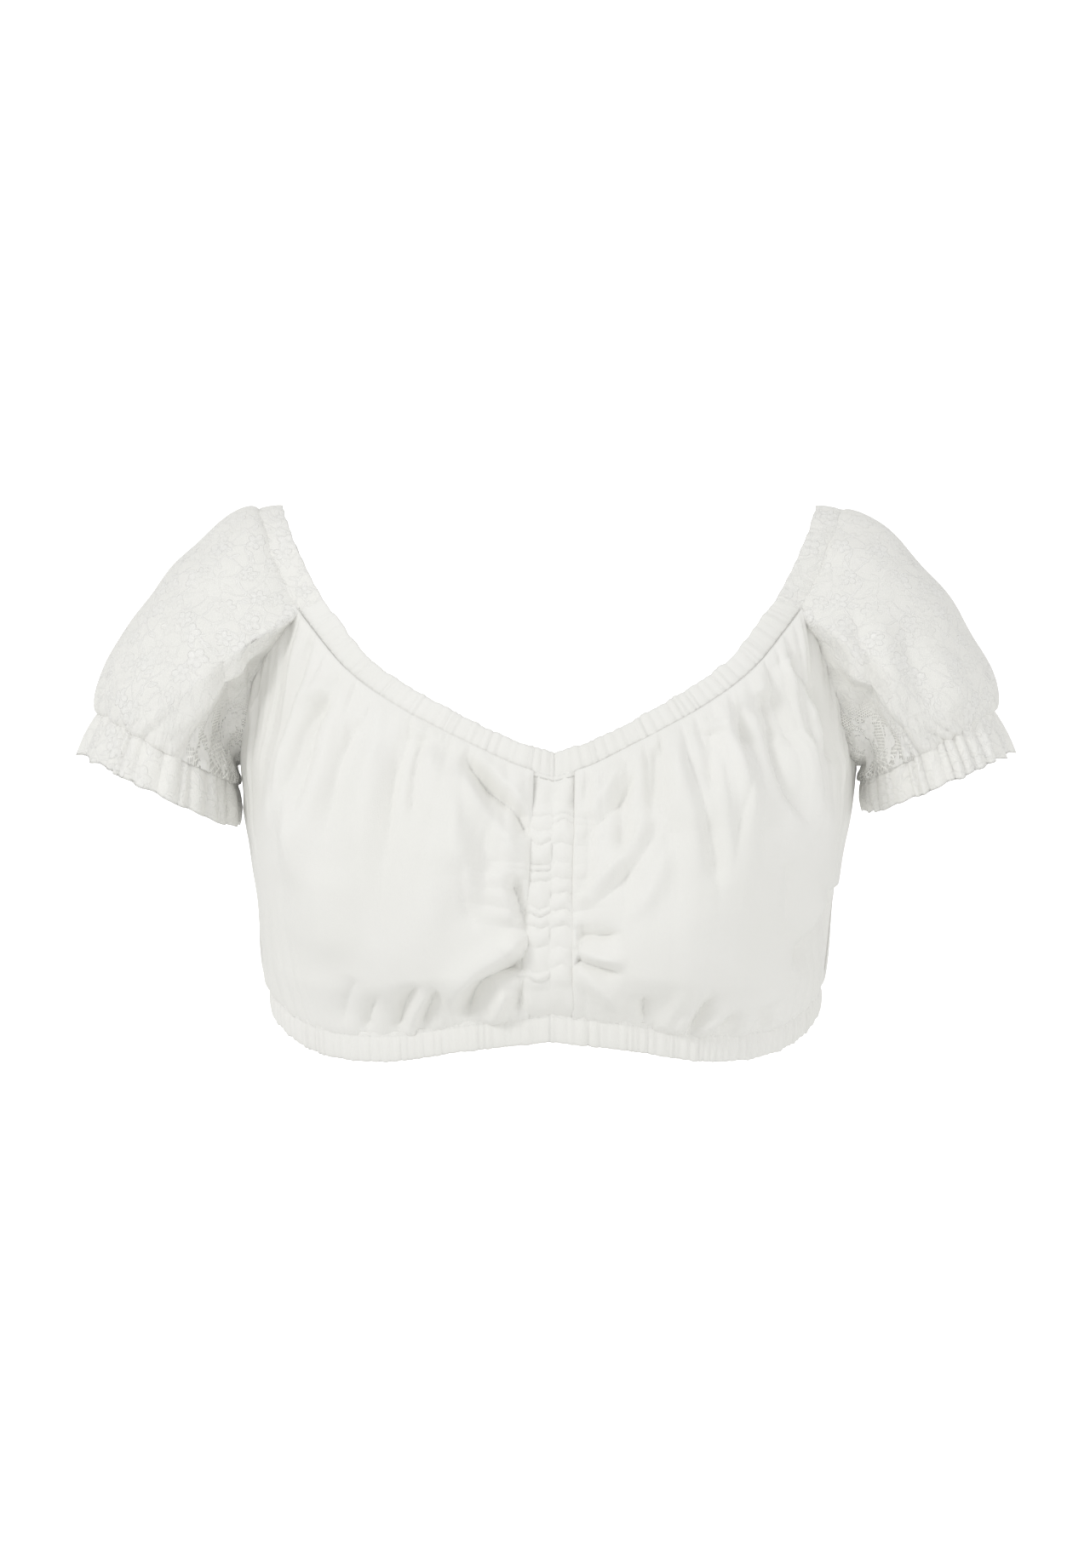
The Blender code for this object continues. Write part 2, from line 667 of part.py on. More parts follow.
def make_casing(ring, wall, gather, pinch=0.0):
    """A gathered casing's profile at each column: a closed band, gathered on its outer side."""
    places, passed = casing_columns(ring.spans)
    lift = gather * gather_shape(passed)[:, None]
    low = read_ring(ring.seam, places) + unit(read_ring(ring.step, places)) * SEAM_GAP / 2
    low_out = unit(read_ring(ring.read("normals", ring.rows), places))
    high = smooth_ring(np.array(ring.edge), places)
    tangent = unit(np.roll(high, -1, axis=0) - np.roll(high, 1, axis=0))
    high_out = unit(np.cross(tangent, high - low))
    high_out *= np.sign(np.sum(high_out * low_out, axis=1, keepdims=True))
    rise = unit(high - low)
    middle_out = unit(low_out + high_out)
    middle = (low + high) / 2 - middle_out * pinch
    half = wall / 2
    profile = [
        low - low_out * half,
        middle - middle_out * half,
        high - high_out * half - rise * EDGE_ROUND,
        high + high_out * (half * EDGE_WALL_SHARE + lift * GATHER_AT_EDGE)
        + rise * (EDGE_ROUND + lift * GATHER_RISE),
        middle + middle_out * (half + CASING_BELLY + lift),
        low + low_out * (half + lift * GATHER_AT_SEAM),
    ]
    if pinch == 0.0:
        del profile[1]
    return np.array(profile)


def ring_mesh(profile):
    """Vertices and faces of a band whose profile runs all round a ring."""
    levels, columns = profile.shape[:2]
    faces = []
    for level in range(levels):
        above = (level + 1) % levels
        for column in range(columns):
            beside = (column + 1) % columns
            faces.append((
                level * columns + column,
                level * columns + beside,
                above * columns + beside,
                above * columns + column,
            ))
    return profile.reshape(-1, 3), faces


def split_quad(quad, from_first):
    """Two triangles of a quad, cut from its first corner or from its second."""
    one, two, three, four = quad
    if from_first:
        return [(one, two, three), (one, three, four)]
    return [(two, three, four), (two, four, one)]


def rim_faces(outer, inner, places, heights):
    """Triangles of a rim. Each quad is cut from its lower outer point, so facing rims match."""
    faces = []
    for here, beside in zip(places[:-1], places[1:]):
        quad = (outer[here], outer[beside], inner[beside], inner[here])
        faces += split_quad(quad, heights[here] < heights[beside])
    return faces


def wall_mesh(cloth):
    """Vertices and faces of a wall of cloth, with its rims. Both sides are cut along like lines."""
    outer, inner = cloth.vertices()
    rows, columns = outer.shape[:2]
    count = rows * columns
    index = np.arange(count).reshape(rows, columns)
    places = list(range(columns)) + ([0] if cloth.wrap else [])
    faces = []
    for row in range(rows - 1):
        for here, beside in zip(places[:-1], places[1:]):
            corners = ((row, here), (row, beside), (row + 1, beside), (row + 1, here))
            one, two, three, four = (cloth.grid[corner] for corner in corners)
            from_first = np.linalg.norm(three - one) < np.linalg.norm(four - two)
            quad = tuple(int(index[corner]) for corner in corners)
            near = split_quad(quad, from_first)
            faces += near
            faces += [tuple(count + corner for corner in reversed(face)) for face in near]
    for row in (0, rows - 1):
        line = index[row]
        heights = cloth.grid[row, :, 2]
        faces += rim_faces(line, line + count, places, heights)
    if not cloth.wrap:
        for column in (0, columns - 1):
            line = index[:, column]
            heights = cloth.grid[:, column, 2]
            faces += rim_faces(line, line + count, range(rows), heights)
    points = np.concatenate((outer.reshape(-1, 3), inner.reshape(-1, 3)))
    return points, [tuple(int(corner) for corner in face) for face in faces]


def material(finish):
    """A piece's own material."""
    name, colour, roughness = finish
    made = bpy.data.materials.new(name)
    made.use_nodes = True
    shader = made.node_tree.nodes["Principled BSDF"]
    shader.inputs["Base Color"].default_value = colour
    shader.inputs["Roughness"].default_value = roughness
    shader.inputs["Metallic"].default_value = 0.0
    return made


def add_piece(name, finish, mesh_data):
    """Adds one named piece to the scene, with its faces pointing out."""
    points, faces = mesh_data
    mesh = bpy.data.meshes.new(name)
    mesh.from_pydata([tuple(point * MM) for point in points], [], faces)
    shape = bmesh.new()
    shape.from_mesh(mesh)
    bmesh.ops.recalc_face_normals(shape, faces=shape.faces)
    bmesh.ops.triangulate(shape, faces=shape.faces, quad_method="SHORT_EDGE")
    shape.to_mesh(mesh)
    shape.free()
    mesh.shade_smooth()
    mesh.materials.append(material(finish))
    piece = bpy.data.objects.new(name, mesh)
    bpy.context.collection.objects.link(piece)


def part_body_seams(fronts, back, sleeves):
    """Parts the raglan seams and the side seams."""
    neck_end = FRONT_RAGLAN_COLUMNS + SLEEVE_NECK_COLUMNS
    back_last = back.grid.shape[1] - 1
    for side, front, sleeve in ((-1, fronts[-1], sleeves[-1]), (1, fronts[1], sleeves[1])):
        top_columns = np.arange(FRONT_NECK_COLUMNS, front.grid.shape[1])
        loop = np.arange(FRONT_RAGLAN_COLUMNS, -1, -1)
        part_seam(front, (-1, top_columns), (-2, top_columns), sleeve, (0, loop), (1, loop))
        loop = np.append(np.arange(neck_end, sleeve.grid.shape[1]), 0)
        columns = np.arange(BACK_RAGLAN_COLUMNS, -1, -1)
        if side < 0:
            columns = back_last - columns
        part_seam(back, (-1, columns), (-2, columns), sleeve, (0, loop), (1, loop))
        rows = np.arange(BODY_ROWS + 1)
        side_column, beside = (0, 1) if side > 0 else (back_last, back_last - 1)
        part_seam(front, (rows, -1), (rows, -2), back, (rows, side_column), (rows, beside))


def neck_ring(neck, fronts, channel, back, sleeves):
    """The seam of the neck casing, from the channel round to the left front."""
    ring = Ring()
    back_columns = BACK_RAGLAN_COLUMNS + np.arange(BACK_NECK_COLUMNS + 1)
    sleeve_columns = FRONT_RAGLAN_COLUMNS + np.arange(SLEEVE_NECK_COLUMNS + 1)
    front_columns = np.arange(FRONT_NECK_COLUMNS + 1)
    channel_top = len(channel.grid) - 1
    ring.add(channel, channel_top, np.arange(CHANNEL_COLUMNS + 1), neck.edge("channel"), 2, 0.5)
    ring.add(fronts[1], BODY_ROWS, front_columns, neck.edge("front", 1), 3, 1.0)
    ring.add(sleeves[1], 0, sleeve_columns, neck.edge("sleeve", 1), 3, 1.0)
    ring.add(back, BODY_ROWS, back_columns, neck.edge("back"), 3, 1.0)
    ring.add(sleeves[-1], 0, sleeve_columns[::-1], neck.edge("sleeve", -1)[::-1], 3, 1.0)
    ring.add(fronts[-1], BODY_ROWS, front_columns[::-1], neck.edge("front", -1)[::-1], 3, 1.0)
    return ring


def hem_points(angles, height):
    """Points round the hem at a height above its lower edge."""
    return shift_centre(torso(angles, hem_level(angles) + height))


def hem_ring(fronts, channel, back):
    """The seam of the hem casing, from the channel round to the left front."""
    ring = Ring()
    front_count = fronts[1].grid.shape[1] - 1
    back_count = back.grid.shape[1] - 1
    channel_angles = channel_angle() * np.linspace(-1.0, 1.0, CHANNEL_COLUMNS + 1)
    right_angles = front_angles(1, front_count)
    back_angles = np.linspace(90.0, 270.0, back_count + 1)
    left_angles = front_angles(-1, front_count)[::-1]
    ring.add(channel, 0, np.arange(CHANNEL_COLUMNS + 1), hem_points(channel_angles, 0.0), 2, 0.5)
    ring.add(fronts[1], 0, np.arange(front_count + 1), hem_points(right_angles, 0.0), 2, 0.5)
    ring.add(back, 0, np.arange(back_count + 1), hem_points(back_angles, 0.0), 3, 1.0)
    ring.add(fronts[-1], 0, np.arange(front_count, -1, -1), hem_points(left_angles, 0.0), 2, 0.5)
    return ring


def cuff_seam(sleeve, side):
    """The seam of a cuff, round the sleeve's mouth."""
    ring = Ring()
    count = sleeve.grid.shape[1]
    edge = cuff_ring(side, 1, np.arange(count + 1) / count)
    ring.add(sleeve, len(sleeve.grid) - 1, np.arange(count + 1) % count, edge, 3, 1.0)
    return ring


def build():
    """Builds the blouse, piece by piece."""
    for old in list(bpy.data.objects):
        bpy.data.objects.remove(old, do_unlink=True)
    neck = Neck()
    fronts = {-1: make_front(neck, -1, "front_left"), 1: make_front(neck, 1, "front_right")}
    sleeves = {-1: make_sleeve(neck, -1, "sleeve_left"), 1: make_sleeve(neck, 1, "sleeve_right")}
    back = make_back(neck)
    channel = make_channel(fronts[-1], fronts[1], neck)
    cloths = [fronts[-1], fronts[1], back, sleeves[-1], sleeves[1], channel]
    part_body_seams(fronts, back, sleeves)
    neck_seam = neck_ring(neck, fronts, channel, back, sleeves)
    hem_seam = hem_ring(fronts, channel, back)
    mouths = {side: cuff_seam(sleeves[side], side) for side in (-1, 1)}
    neck_seam.part(cloths)
    hem_seam.part(cloths)
    mouths[-1].part([sleeves[-1]])
    mouths[1].part([sleeves[1]])
    share_normals(cloths)
    part_channel(channel, fronts)
    casings = (
        ("neck_casing", COTTON, make_casing(neck_seam, CASING_WALL, NECK_GATHER)),
        ("hem_casing", COTTON, make_casing(hem_seam, CASING_WALL, HEM_GATHER)),
        ("cuff_left", LACE, make_casing(mouths[-1], CUFF_WALL, CUFF_GATHER, CUFF_PINCH)),
        ("cuff_right", LACE, make_casing(mouths[1], CUFF_WALL, CUFF_GATHER, CUFF_PINCH)),
    )
    for cloth in cloths:
        add_piece(cloth.name, cloth.finish, wall_mesh(cloth))
    for name, finish, profile in casings:
        add_piece(name, finish, ring_mesh(profile))


if __name__ == "__main__":
    build()
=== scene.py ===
"""A worn dirndl blouse in gathered cotton and floral lace, seen from the front on white.

Sizes are in millimetres until a mesh is made. The front faces -Y and +X is to the viewer's right.
"""

from __future__ import annotations

import math
from dataclasses import dataclass, field
from enum import Enum
from typing import Callable, Sequence

import bpy
import numpy as np
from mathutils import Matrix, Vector


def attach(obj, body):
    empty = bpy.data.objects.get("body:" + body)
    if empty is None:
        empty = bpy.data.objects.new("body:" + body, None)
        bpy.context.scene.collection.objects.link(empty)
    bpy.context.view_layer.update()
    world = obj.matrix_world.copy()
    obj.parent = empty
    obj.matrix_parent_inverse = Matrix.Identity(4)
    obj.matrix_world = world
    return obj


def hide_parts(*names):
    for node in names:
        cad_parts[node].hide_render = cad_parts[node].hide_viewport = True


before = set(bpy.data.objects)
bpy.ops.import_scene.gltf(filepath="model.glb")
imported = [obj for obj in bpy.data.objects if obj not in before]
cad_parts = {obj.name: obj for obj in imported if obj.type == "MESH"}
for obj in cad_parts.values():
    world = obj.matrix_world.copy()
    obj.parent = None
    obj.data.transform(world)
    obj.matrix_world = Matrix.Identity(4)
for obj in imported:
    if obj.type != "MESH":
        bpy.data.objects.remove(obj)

Colour = tuple[float, float, float]

MM = 0.001
SEED = 41

# Detail of the cloth grids: steps of a visible grid for each step of the CAD's
COLUMN_STEPS = 8
ROW_STEPS = 14
CASING_STEP = 0.9

# Cloth
COTTON_WALL = 0.5
LACE_WALL = 0.5
CASING_WALL = 2.4
HEM_CASING_WIDTH = 14.5
CENTRE_SHIFT = 2.5
CENTRE_SHIFT_REACH = 60.0
CHANNEL_HALF_WIDTH = 11.0
RUCHE_TOP = -163.0
RUCHE_BOTTOM = -254.0
CHANNEL_COLUMNS = 6
FRONT_NECK_COLUMNS = 18
FRONT_RAGLAN_COLUMNS = 8
SLEEVE_NECK_COLUMNS = 12
BACK_RAGLAN_COLUMNS = 6
BACK_NECK_COLUMNS = 12
ARMHOLE_COLUMNS = FRONT_RAGLAN_COLUMNS + SLEEVE_NECK_COLUMNS + BACK_RAGLAN_COLUMNS
BODY_ROWS = 14
SLEEVE_ROWS = 9
FRONT_CORNER_ROW = 7
BACK_CORNER_ROW = 13

# The torso form, from the hem up: level, middle, half width, depth in front, depth behind, bust
TORSO = np.array([
    (-300, -1.6, 144.5, 88.0, 94.0, 0.0),
    (-272, -1.8, 146.0, 90.0, 95.0, 8.0),
    (-250, -2.2, 148.0, 93.0, 97.0, 20.0),
    (-228, -2.2, 151.5, 95.0, 99.0, 28.0),
    (-195, -1.6, 157.0, 96.0, 101.0, 32.0),
    (-165, -0.5, 162.0, 97.0, 101.0, 28.0),
    (-143, 0.0, 164.5, 98.0, 101.0, 20.0),
    (-121, 0.0, 164.5, 99.0, 100.0, 11.0),
    (-100, 0.0, 163.0, 100.0, 99.0, 5.0),
    (-80, 0.0, 161.0, 101.0, 98.0, 1.0),
    (-50, 0.0, 158.0, 101.0, 96.0, 0.0),
], dtype=float)
BUST_ANGLE = 26.0
BUST_SPREAD_IN = 19.0
BUST_SPREAD_OUT = 32.0
BLOUSE_PUFF = 5.5
BLOUSE_RISE = 11.0
BLOUSE_SIDE_LOSS = 0.6
BUST_RISE = 26.0

# The hem's lower edge, from the front centre to the back centre: angle in degrees and level
HEM = np.array([
    (0, -284.5), (17, -289.5), (34, -295.5), (50, -294.5), (64, -288.0),
    (77, -279.0), (90, -272.5), (130, -276.0), (180, -280.0),
], dtype=float)

# Half of the neck casing: a point of its free edge and a point of its seam
NECK = np.array([
    (0, -98, -134.3, 0, -101, -148),
    (15, -97.5, -130, 18, -100.5, -143),
    (35, -95, -121.3, 40, -98, -133),
    (53.5, -91.5, -111.3, 60, -94, -123),
    (70, -87.5, -102, 78, -89, -113),
    (96, -76.5, -83, 106, -76, -92),
    (110.5, -65.5, -64, 122.5, -63, -72),
    (118.5, -59, -54, 132, -54.5, -59),
    (128, -48, -37, 142, -44, -41),
    (137, -33, -18, 151, -29.5, -20),
    (144, 0, -1.2, 158, 0, -3),
    (141, 29, -17, 154, 29, -22),
    (131, 49, -54, 142.5, 52, -62),
    (121, 60, -79, 131.5, 65, -88),
    (104, 72.5, -101, 112, 79, -112),
    (66, 87, -128, 70, 94, -141),
    (0, 96, -143, 0, 102.5, -157),
], dtype=float)

# The raglan seams, from the neck casing down to the underarm
FRONT_RAGLAN = {
    -1: np.array([
        (132, -54.5, -59), (145, -43, -74), (153, -34, -88),
        (159, -25, -103), (162, -17, -122), (164.5, 0, -139),
    ], dtype=float),
    1: np.array([
        (132, -54.5, -59), (141.5, -48, -75), (149.5, -41, -98),
        (155, -33, -118), (160, -19, -133), (164.5, 0, -139),
    ], dtype=float),
}
BACK_RAGLAN = np.array([
    (131.5, 65, -88), (148, 51, -104), (159, 33, -121), (163, 17, -133), (164.5, 0, -139),
], dtype=float)

# The sleeves' mouths: upper and lower ring, each with the x and z of both ends and its half depth
CUFFS = {
    -1: np.array([(241.0, -110, 169.5, -150, 50), (251, -134, 169, -175, 55)], dtype=float),
    1: np.array([(238.0, -109, 169.5, -148, 50), (248, -133, 172, -167, 55)], dtype=float),
}
SLEEVE_PUFF = np.array([
    (0.0, 6.0), (0.12, 7.0), (0.28, 14.5), (0.5, 17.5), (0.72, 15.0), (0.88, 7.0), (1.0, 6.0),
], dtype=float)
UNDERARM_LIFT = 0.8
UNDERARM_REACH = 1.5

# How sharply a crease and a ridge fall away from their lines
CREASE_POWER = 1.15
FOLD_STRENGTH = 1.2
RIDGE_POWER = 1.8

# How far cloth stands out where it meets a casing
CASING_FLUSH = 0.7

# Middle of the open net at each underarm, in metres, with every sign dropped
UNDERARM = (0.168, 0.034, 0.138)

# How far cloth runs on into a casing, and how far a fold may stand out at a seam
SEAM_TUCK = 1.5
SEAM_RISE = 1.2

# The flaps of the centre strip, which lie under the fronts
FLAP_WIDTH = 3.0
FLAP_DEPTH = 1.6

# Distance between two gathers, along the neck, the hem and the strip
NECK_FINE_PITCH = 4.6
NECK_MIDDLE_PITCH = 11.0
NECK_WIDE_PITCH = 24.0
HEM_FINE_PITCH = 4.8
HEM_WIDE_PITCH = 15.0
RUCHE_PITCH = 8.2

# Length over which the hem's gathers are laid out, and their place at the front centre
HEM_GATHERS_LENGTH = 900.0
HEM_GATHERS_START = 450.0

# Number of gathers round a sleeve: fine ones at its mouth, and wide ones
MOUTH_GATHERS = 30
WIDE_SLEEVE_GATHERS = 17

# About how long the hem and a cuff are, for the number of points round them
HEM_LENGTH = 800.0
CUFF_LENGTH = 351.0

# Thread of the visible stitches
STITCH_LENGTH = 1.9
STITCH_GAP = 0.8
THREAD_THICKNESS = 0.22

# Flat sizes in metres, and the areas in square metres of the pieces that aren't oblong
STRIP_FLAT = (0.024, 0.17)
FRONT_FLAT, FRONT_AREA = (0.26, 0.235), 0.046
BACK_FLAT, BACK_AREA = (0.56, 0.19), 0.075


def unit(vectors: np.ndarray) -> np.ndarray:
    """Vectors of length one."""
    return vectors / np.maximum(np.linalg.norm(vectors, axis=-1, keepdims=True), 1e-9)


def curve_through(rows: np.ndarray, places: np.ndarray, at: np.ndarray) -> np.ndarray:
    """Reads a smooth curve through rows.

    Args:
        rows: Values at the places.
        places: Rising places of the rows.
        at: Places to read.

    Returns:
        Values at those places, of cubic arcs with shared slopes.
    """
    at = np.asarray(at, dtype=float)
    slopes = np.gradient(rows, places, axis=0)
    index = np.clip(np.searchsorted(places, at, side="right") - 1, 0, len(places) - 2)
    span = (places[index + 1] - places[index])[..., None]
    part = np.clip((at[..., None] - places[index][..., None]) / span, 0.0, 1.0)
    start = (1 + 2 * part) * (1 - part) ** 2 * rows[index]
    end = (3 - 2 * part) * part ** 2 * rows[index + 1]
    leave = part * (1 - part) ** 2 * span * slopes[index]
    arrive = (part - 1) * part ** 2 * span * slopes[index + 1]
    return start + end + leave + arrive


def lengths_along(points: np.ndarray) -> np.ndarray:
    """Distance from the first point to each point."""
    steps = np.linalg.norm(np.diff(points, axis=0), axis=-1)
    return np.concatenate((np.zeros((1,) + steps.shape[1:]), np.cumsum(steps, axis=0)))


def even_points(points: np.ndarray, count: int) -> np.ndarray:
    """Points at even distances on the smooth curve through the given ones."""
    places = lengths_along(points)
    return curve_through(points, places, np.linspace(0.0, places[-1], count + 1))


def smooth_step(value: np.ndarray) -> np.ndarray:
    """0 below 0, 1 above 1, and a soft rise between."""
    value = np.clip(value, 0.0, 1.0)
    return value * value * (3 - 2 * value)


def mirrored(points: np.ndarray, side: float) -> np.ndarray:
    """Points on the given side: 1 keeps +X, -1 turns to -X."""
    return points * np.array((side, 1.0, 1.0))


def wander(first: np.ndarray, second: np.ndarray, reach: float, seed: int) -> np.ndarray:
    """Soft uneven values between about -1 and 1 over two coordinates.

    Args:
        first: First coordinate, in millimetres.
        second: Second coordinate.
        reach: Distance over which the values change.
        seed: Which field of values.

    Returns:
        One value for each point.
    """
    rng = np.random.default_rng(seed)
    total = np.zeros(np.broadcast(first, second).shape)
    waves = 7
    for _ in range(waves):
        turn = rng.uniform(0, 2 * np.pi)
        speed = 2 * np.pi / (reach * rng.uniform(1.6, 3.6))
        lean = rng.uniform(0, 2 * np.pi)
        total += np.sin(speed * (first * np.cos(turn) + second * np.sin(turn)) + lean)
    return total / np.sqrt(waves)


class Side(Enum):
    """The two sides of the blouse, as seen from the front."""

    LEFT = -1
    RIGHT = 1


class Torso:
    """The form that the body panels lie on."""

    def hem_level(self, angle: np.ndarray) -> np.ndarray:
        """Level of the hem's lower edge at angles from the front centre."""
        folded = np.abs((angle + 180.0) % 360.0 - 180.0)
        return curve_through(HEM[:, 1:], HEM[:, 0], folded)[..., 0]

    def section(self, level: np.ndarray) -> np.ndarray:
        """Middle, half width, depth in front and behind, and bust at levels."""
        return np.moveaxis(curve_through(TORSO[:, 1:], TORSO[:, 0], level), -1, 0)

    def points(self, angle: np.ndarray, level: np.ndarray) -> np.ndarray:
        """Points of the form at angles from the front centre and at levels."""
        angle, level = np.broadcast_arrays(np.asarray(angle, float), np.asarray(level, float))
        middle, width, front, back, bust = self.section(level)
        folded = np.abs((angle + 180.0) % 360.0 - 180.0)
        above = level - self.hem_level(angle) - HEM_CASING_WIDTH
        spread = np.where(folded < BUST_ANGLE, BUST_SPREAD_IN, BUST_SPREAD_OUT)
        lobe = bust * np.exp(-((folded - BUST_ANGLE) / spread) ** 2) * smooth_step(above / BUST_RISE)
        rise = np.maximum(above, 0.0) / BLOUSE_RISE
        sine, cosine = np.sin(np.radians(angle)), np.cos(np.radians(angle))
        puff = BLOUSE_PUFF * rise * np.exp(1.0 - rise) * (1.0 - BLOUSE_SIDE_LOSS * sine ** 2)
        out = lobe + puff
        depth = np.where(cosine > 0, front, back) + out
        return np.stack((middle + (width + out) * sine, -depth * cosine, level), axis=-1)

    def place(self, points: np.ndarray) -> tuple[np.ndarray, np.ndarray]:
        """Angle and level of the form nearest to each point."""
        middle, width, front, back, _ = self.section(points[:, 2])
        depth = np.where(points[:, 1] < 0, front, back)
        angle = np.degrees(np.arctan2((points[:, 0] - middle) / width, -points[:, 1] / depth))
        return angle % 360.0, points[:, 2]

    def panel(self, bottom_angles: np.ndarray, top: np.ndarray, rows: int) -> np.ndarray:
        """Rows of points from the hem casing's seam up to the top points."""
        top_angles, top_levels = self.place(top)
        bottom_levels = self.hem_level(bottom_angles) + HEM_CASING_WIDTH
        rest = top - self.points(top_angles, top_levels)
        part = np.linspace(0.0, 1.0, rows + 1)[:, None]
        turn = (top_angles - bottom_angles + 180) % 360 - 180
        angles = bottom_angles + turn * part
        levels = bottom_levels + (top_levels - bottom_levels) * part
        return self.points(angles, levels) + rest * part[..., None] ** 3

    def hem(self, angles: np.ndarray, height: float) -> np.ndarray:
        """Points round the hem at a height above its lower edge."""
        return shift_centre(self.points(angles, self.hem_level(angles) + height))


def shift_centre(points: np.ndarray) -> np.ndarray:
    """The front centre lies a little to the right of the middle, and the rest follows softly."""
    near = np.exp(-(points[..., 0] / CENTRE_SHIFT_REACH) ** 2)
    moved = points.copy()
    moved[..., 0] += CENTRE_SHIFT * near * smooth_step(-points[..., 1] / CENTRE_SHIFT_REACH)
    return moved


class NeckLine:
    """The seam and the free edge of the neck casing."""

    def __init__(self) -> None:
        self.places = lengths_along(NECK[:, 3:])
        self.front_corner = self.places[FRONT_CORNER_ROW]
        self.back_corner = self.places[BACK_CORNER_ROW]
        self.back_centre = self.places[-1]

    def read(self, place: np.ndarray) -> tuple[np.ndarray, np.ndarray]:
        """Edge and seam points at distances from the front centre, below zero to its left."""
        rows = curve_through(NECK, self.places, np.abs(place))
        side = np.where(np.asarray(place) < 0, -1.0, 1.0)
        rows[..., 0] *= side
        rows[..., 3] *= side
        return shift_centre(rows[..., :3]), rows[..., 3:]

    def between(self, start: float, end: float, count: int) -> np.ndarray:
        """Seam points between two places."""
        return self.read(np.linspace(start, end, count + 1))[1]


class Gathers:
    """Uneven gathers along a line: each has its own width and height."""

    def __init__(self, length: float, pitch: float, uneven: float, seed: int) -> None:
        rng = np.random.default_rng(SEED + seed)
        count = max(2, int(round(length / pitch)))
        widths = 1.0 + uneven * rng.uniform(-1.0, 1.0, count)
        self.length = length
        self.knots = np.concatenate(([0.0], np.cumsum(widths))) * length / widths.sum()
        self.heights = rng.uniform(0.35, 1.0, count)

    def at(self, place: np.ndarray, sharp: float = 0.8) -> np.ndarray:
        """Height of the gathers at places, from 0 in the valleys to at most 1 on a crest."""
        place = np.mod(place, self.length)
        index = np.clip(np.searchsorted(self.knots, place, side="right") - 1, 0, len(self.heights) - 1)
        part = (place - self.knots[index]) / (self.knots[index + 1] - self.knots[index])
        return self.heights[index] * np.sin(np.pi * np.clip(part, 0.0, 1.0)) ** sharp


@dataclass(frozen=True)
class Fold:
    """One fold as it lies in the front view.

    Attributes:
        line: Points (x, z) along its crest or crease.
        height: How far it stands out of the cloth; below zero it is a crease.
        left: Its reach to the left of its line, looking from its first point to its last.
        right: Its reach to the right.
        fade: Parts of its length over which it starts and ends.
    """

    line: tuple[tuple[float, float], ...]
    height: float
    left: float
    right: float
    fade: tuple[float, float] = (0.25, 0.35)

    def lift(self, points: np.ndarray) -> np.ndarray:
        """Height of the fold at points (x, z)."""
        rows = np.array(self.line, dtype=float)
        pieces = 4 * (len(rows) - 1)
        line = even_points(rows, pieces) if len(rows) > 2 else np.linspace(rows[0], rows[1], pieces + 1)
        widest = 3 * max(self.left, self.right)
        low, high = line.min(axis=0) - widest, line.max(axis=0) + widest
        near = np.all((points > low) & (points < high), axis=-1)
        inside = points[near]
        best = np.full(len(inside), 1e9)
        along = np.zeros(len(inside))
        side = np.zeros(len(inside))
        for number in range(pieces):
            start, step = line[number], line[number + 1] - line[number]
            away = inside - start
            part = np.clip(away @ step / (step @ step), 0.0, 1.0)
            rest = away - part[:, None] * step
            distance = np.linalg.norm(rest, axis=1)
            closer = distance < best
            best = np.where(closer, distance, best)
            along = np.where(closer, (number + part) / pieces, along)
            side = np.where(closer, step[0] * rest[:, 1] - step[1] * rest[:, 0], side)
        reach = np.where(side > 0, self.left, self.right)
        envelope = smooth_step(along / max(self.fade[0], 1e-3))
        envelope = envelope * smooth_step((1 - along) / max(self.fade[1], 1e-3))
        lift = np.zeros(points.shape[:-1])
        power = CREASE_POWER if self.height < 0 else RIDGE_POWER
        lift[near] = self.height * np.exp(-(best / reach) ** power) * envelope
        return lift


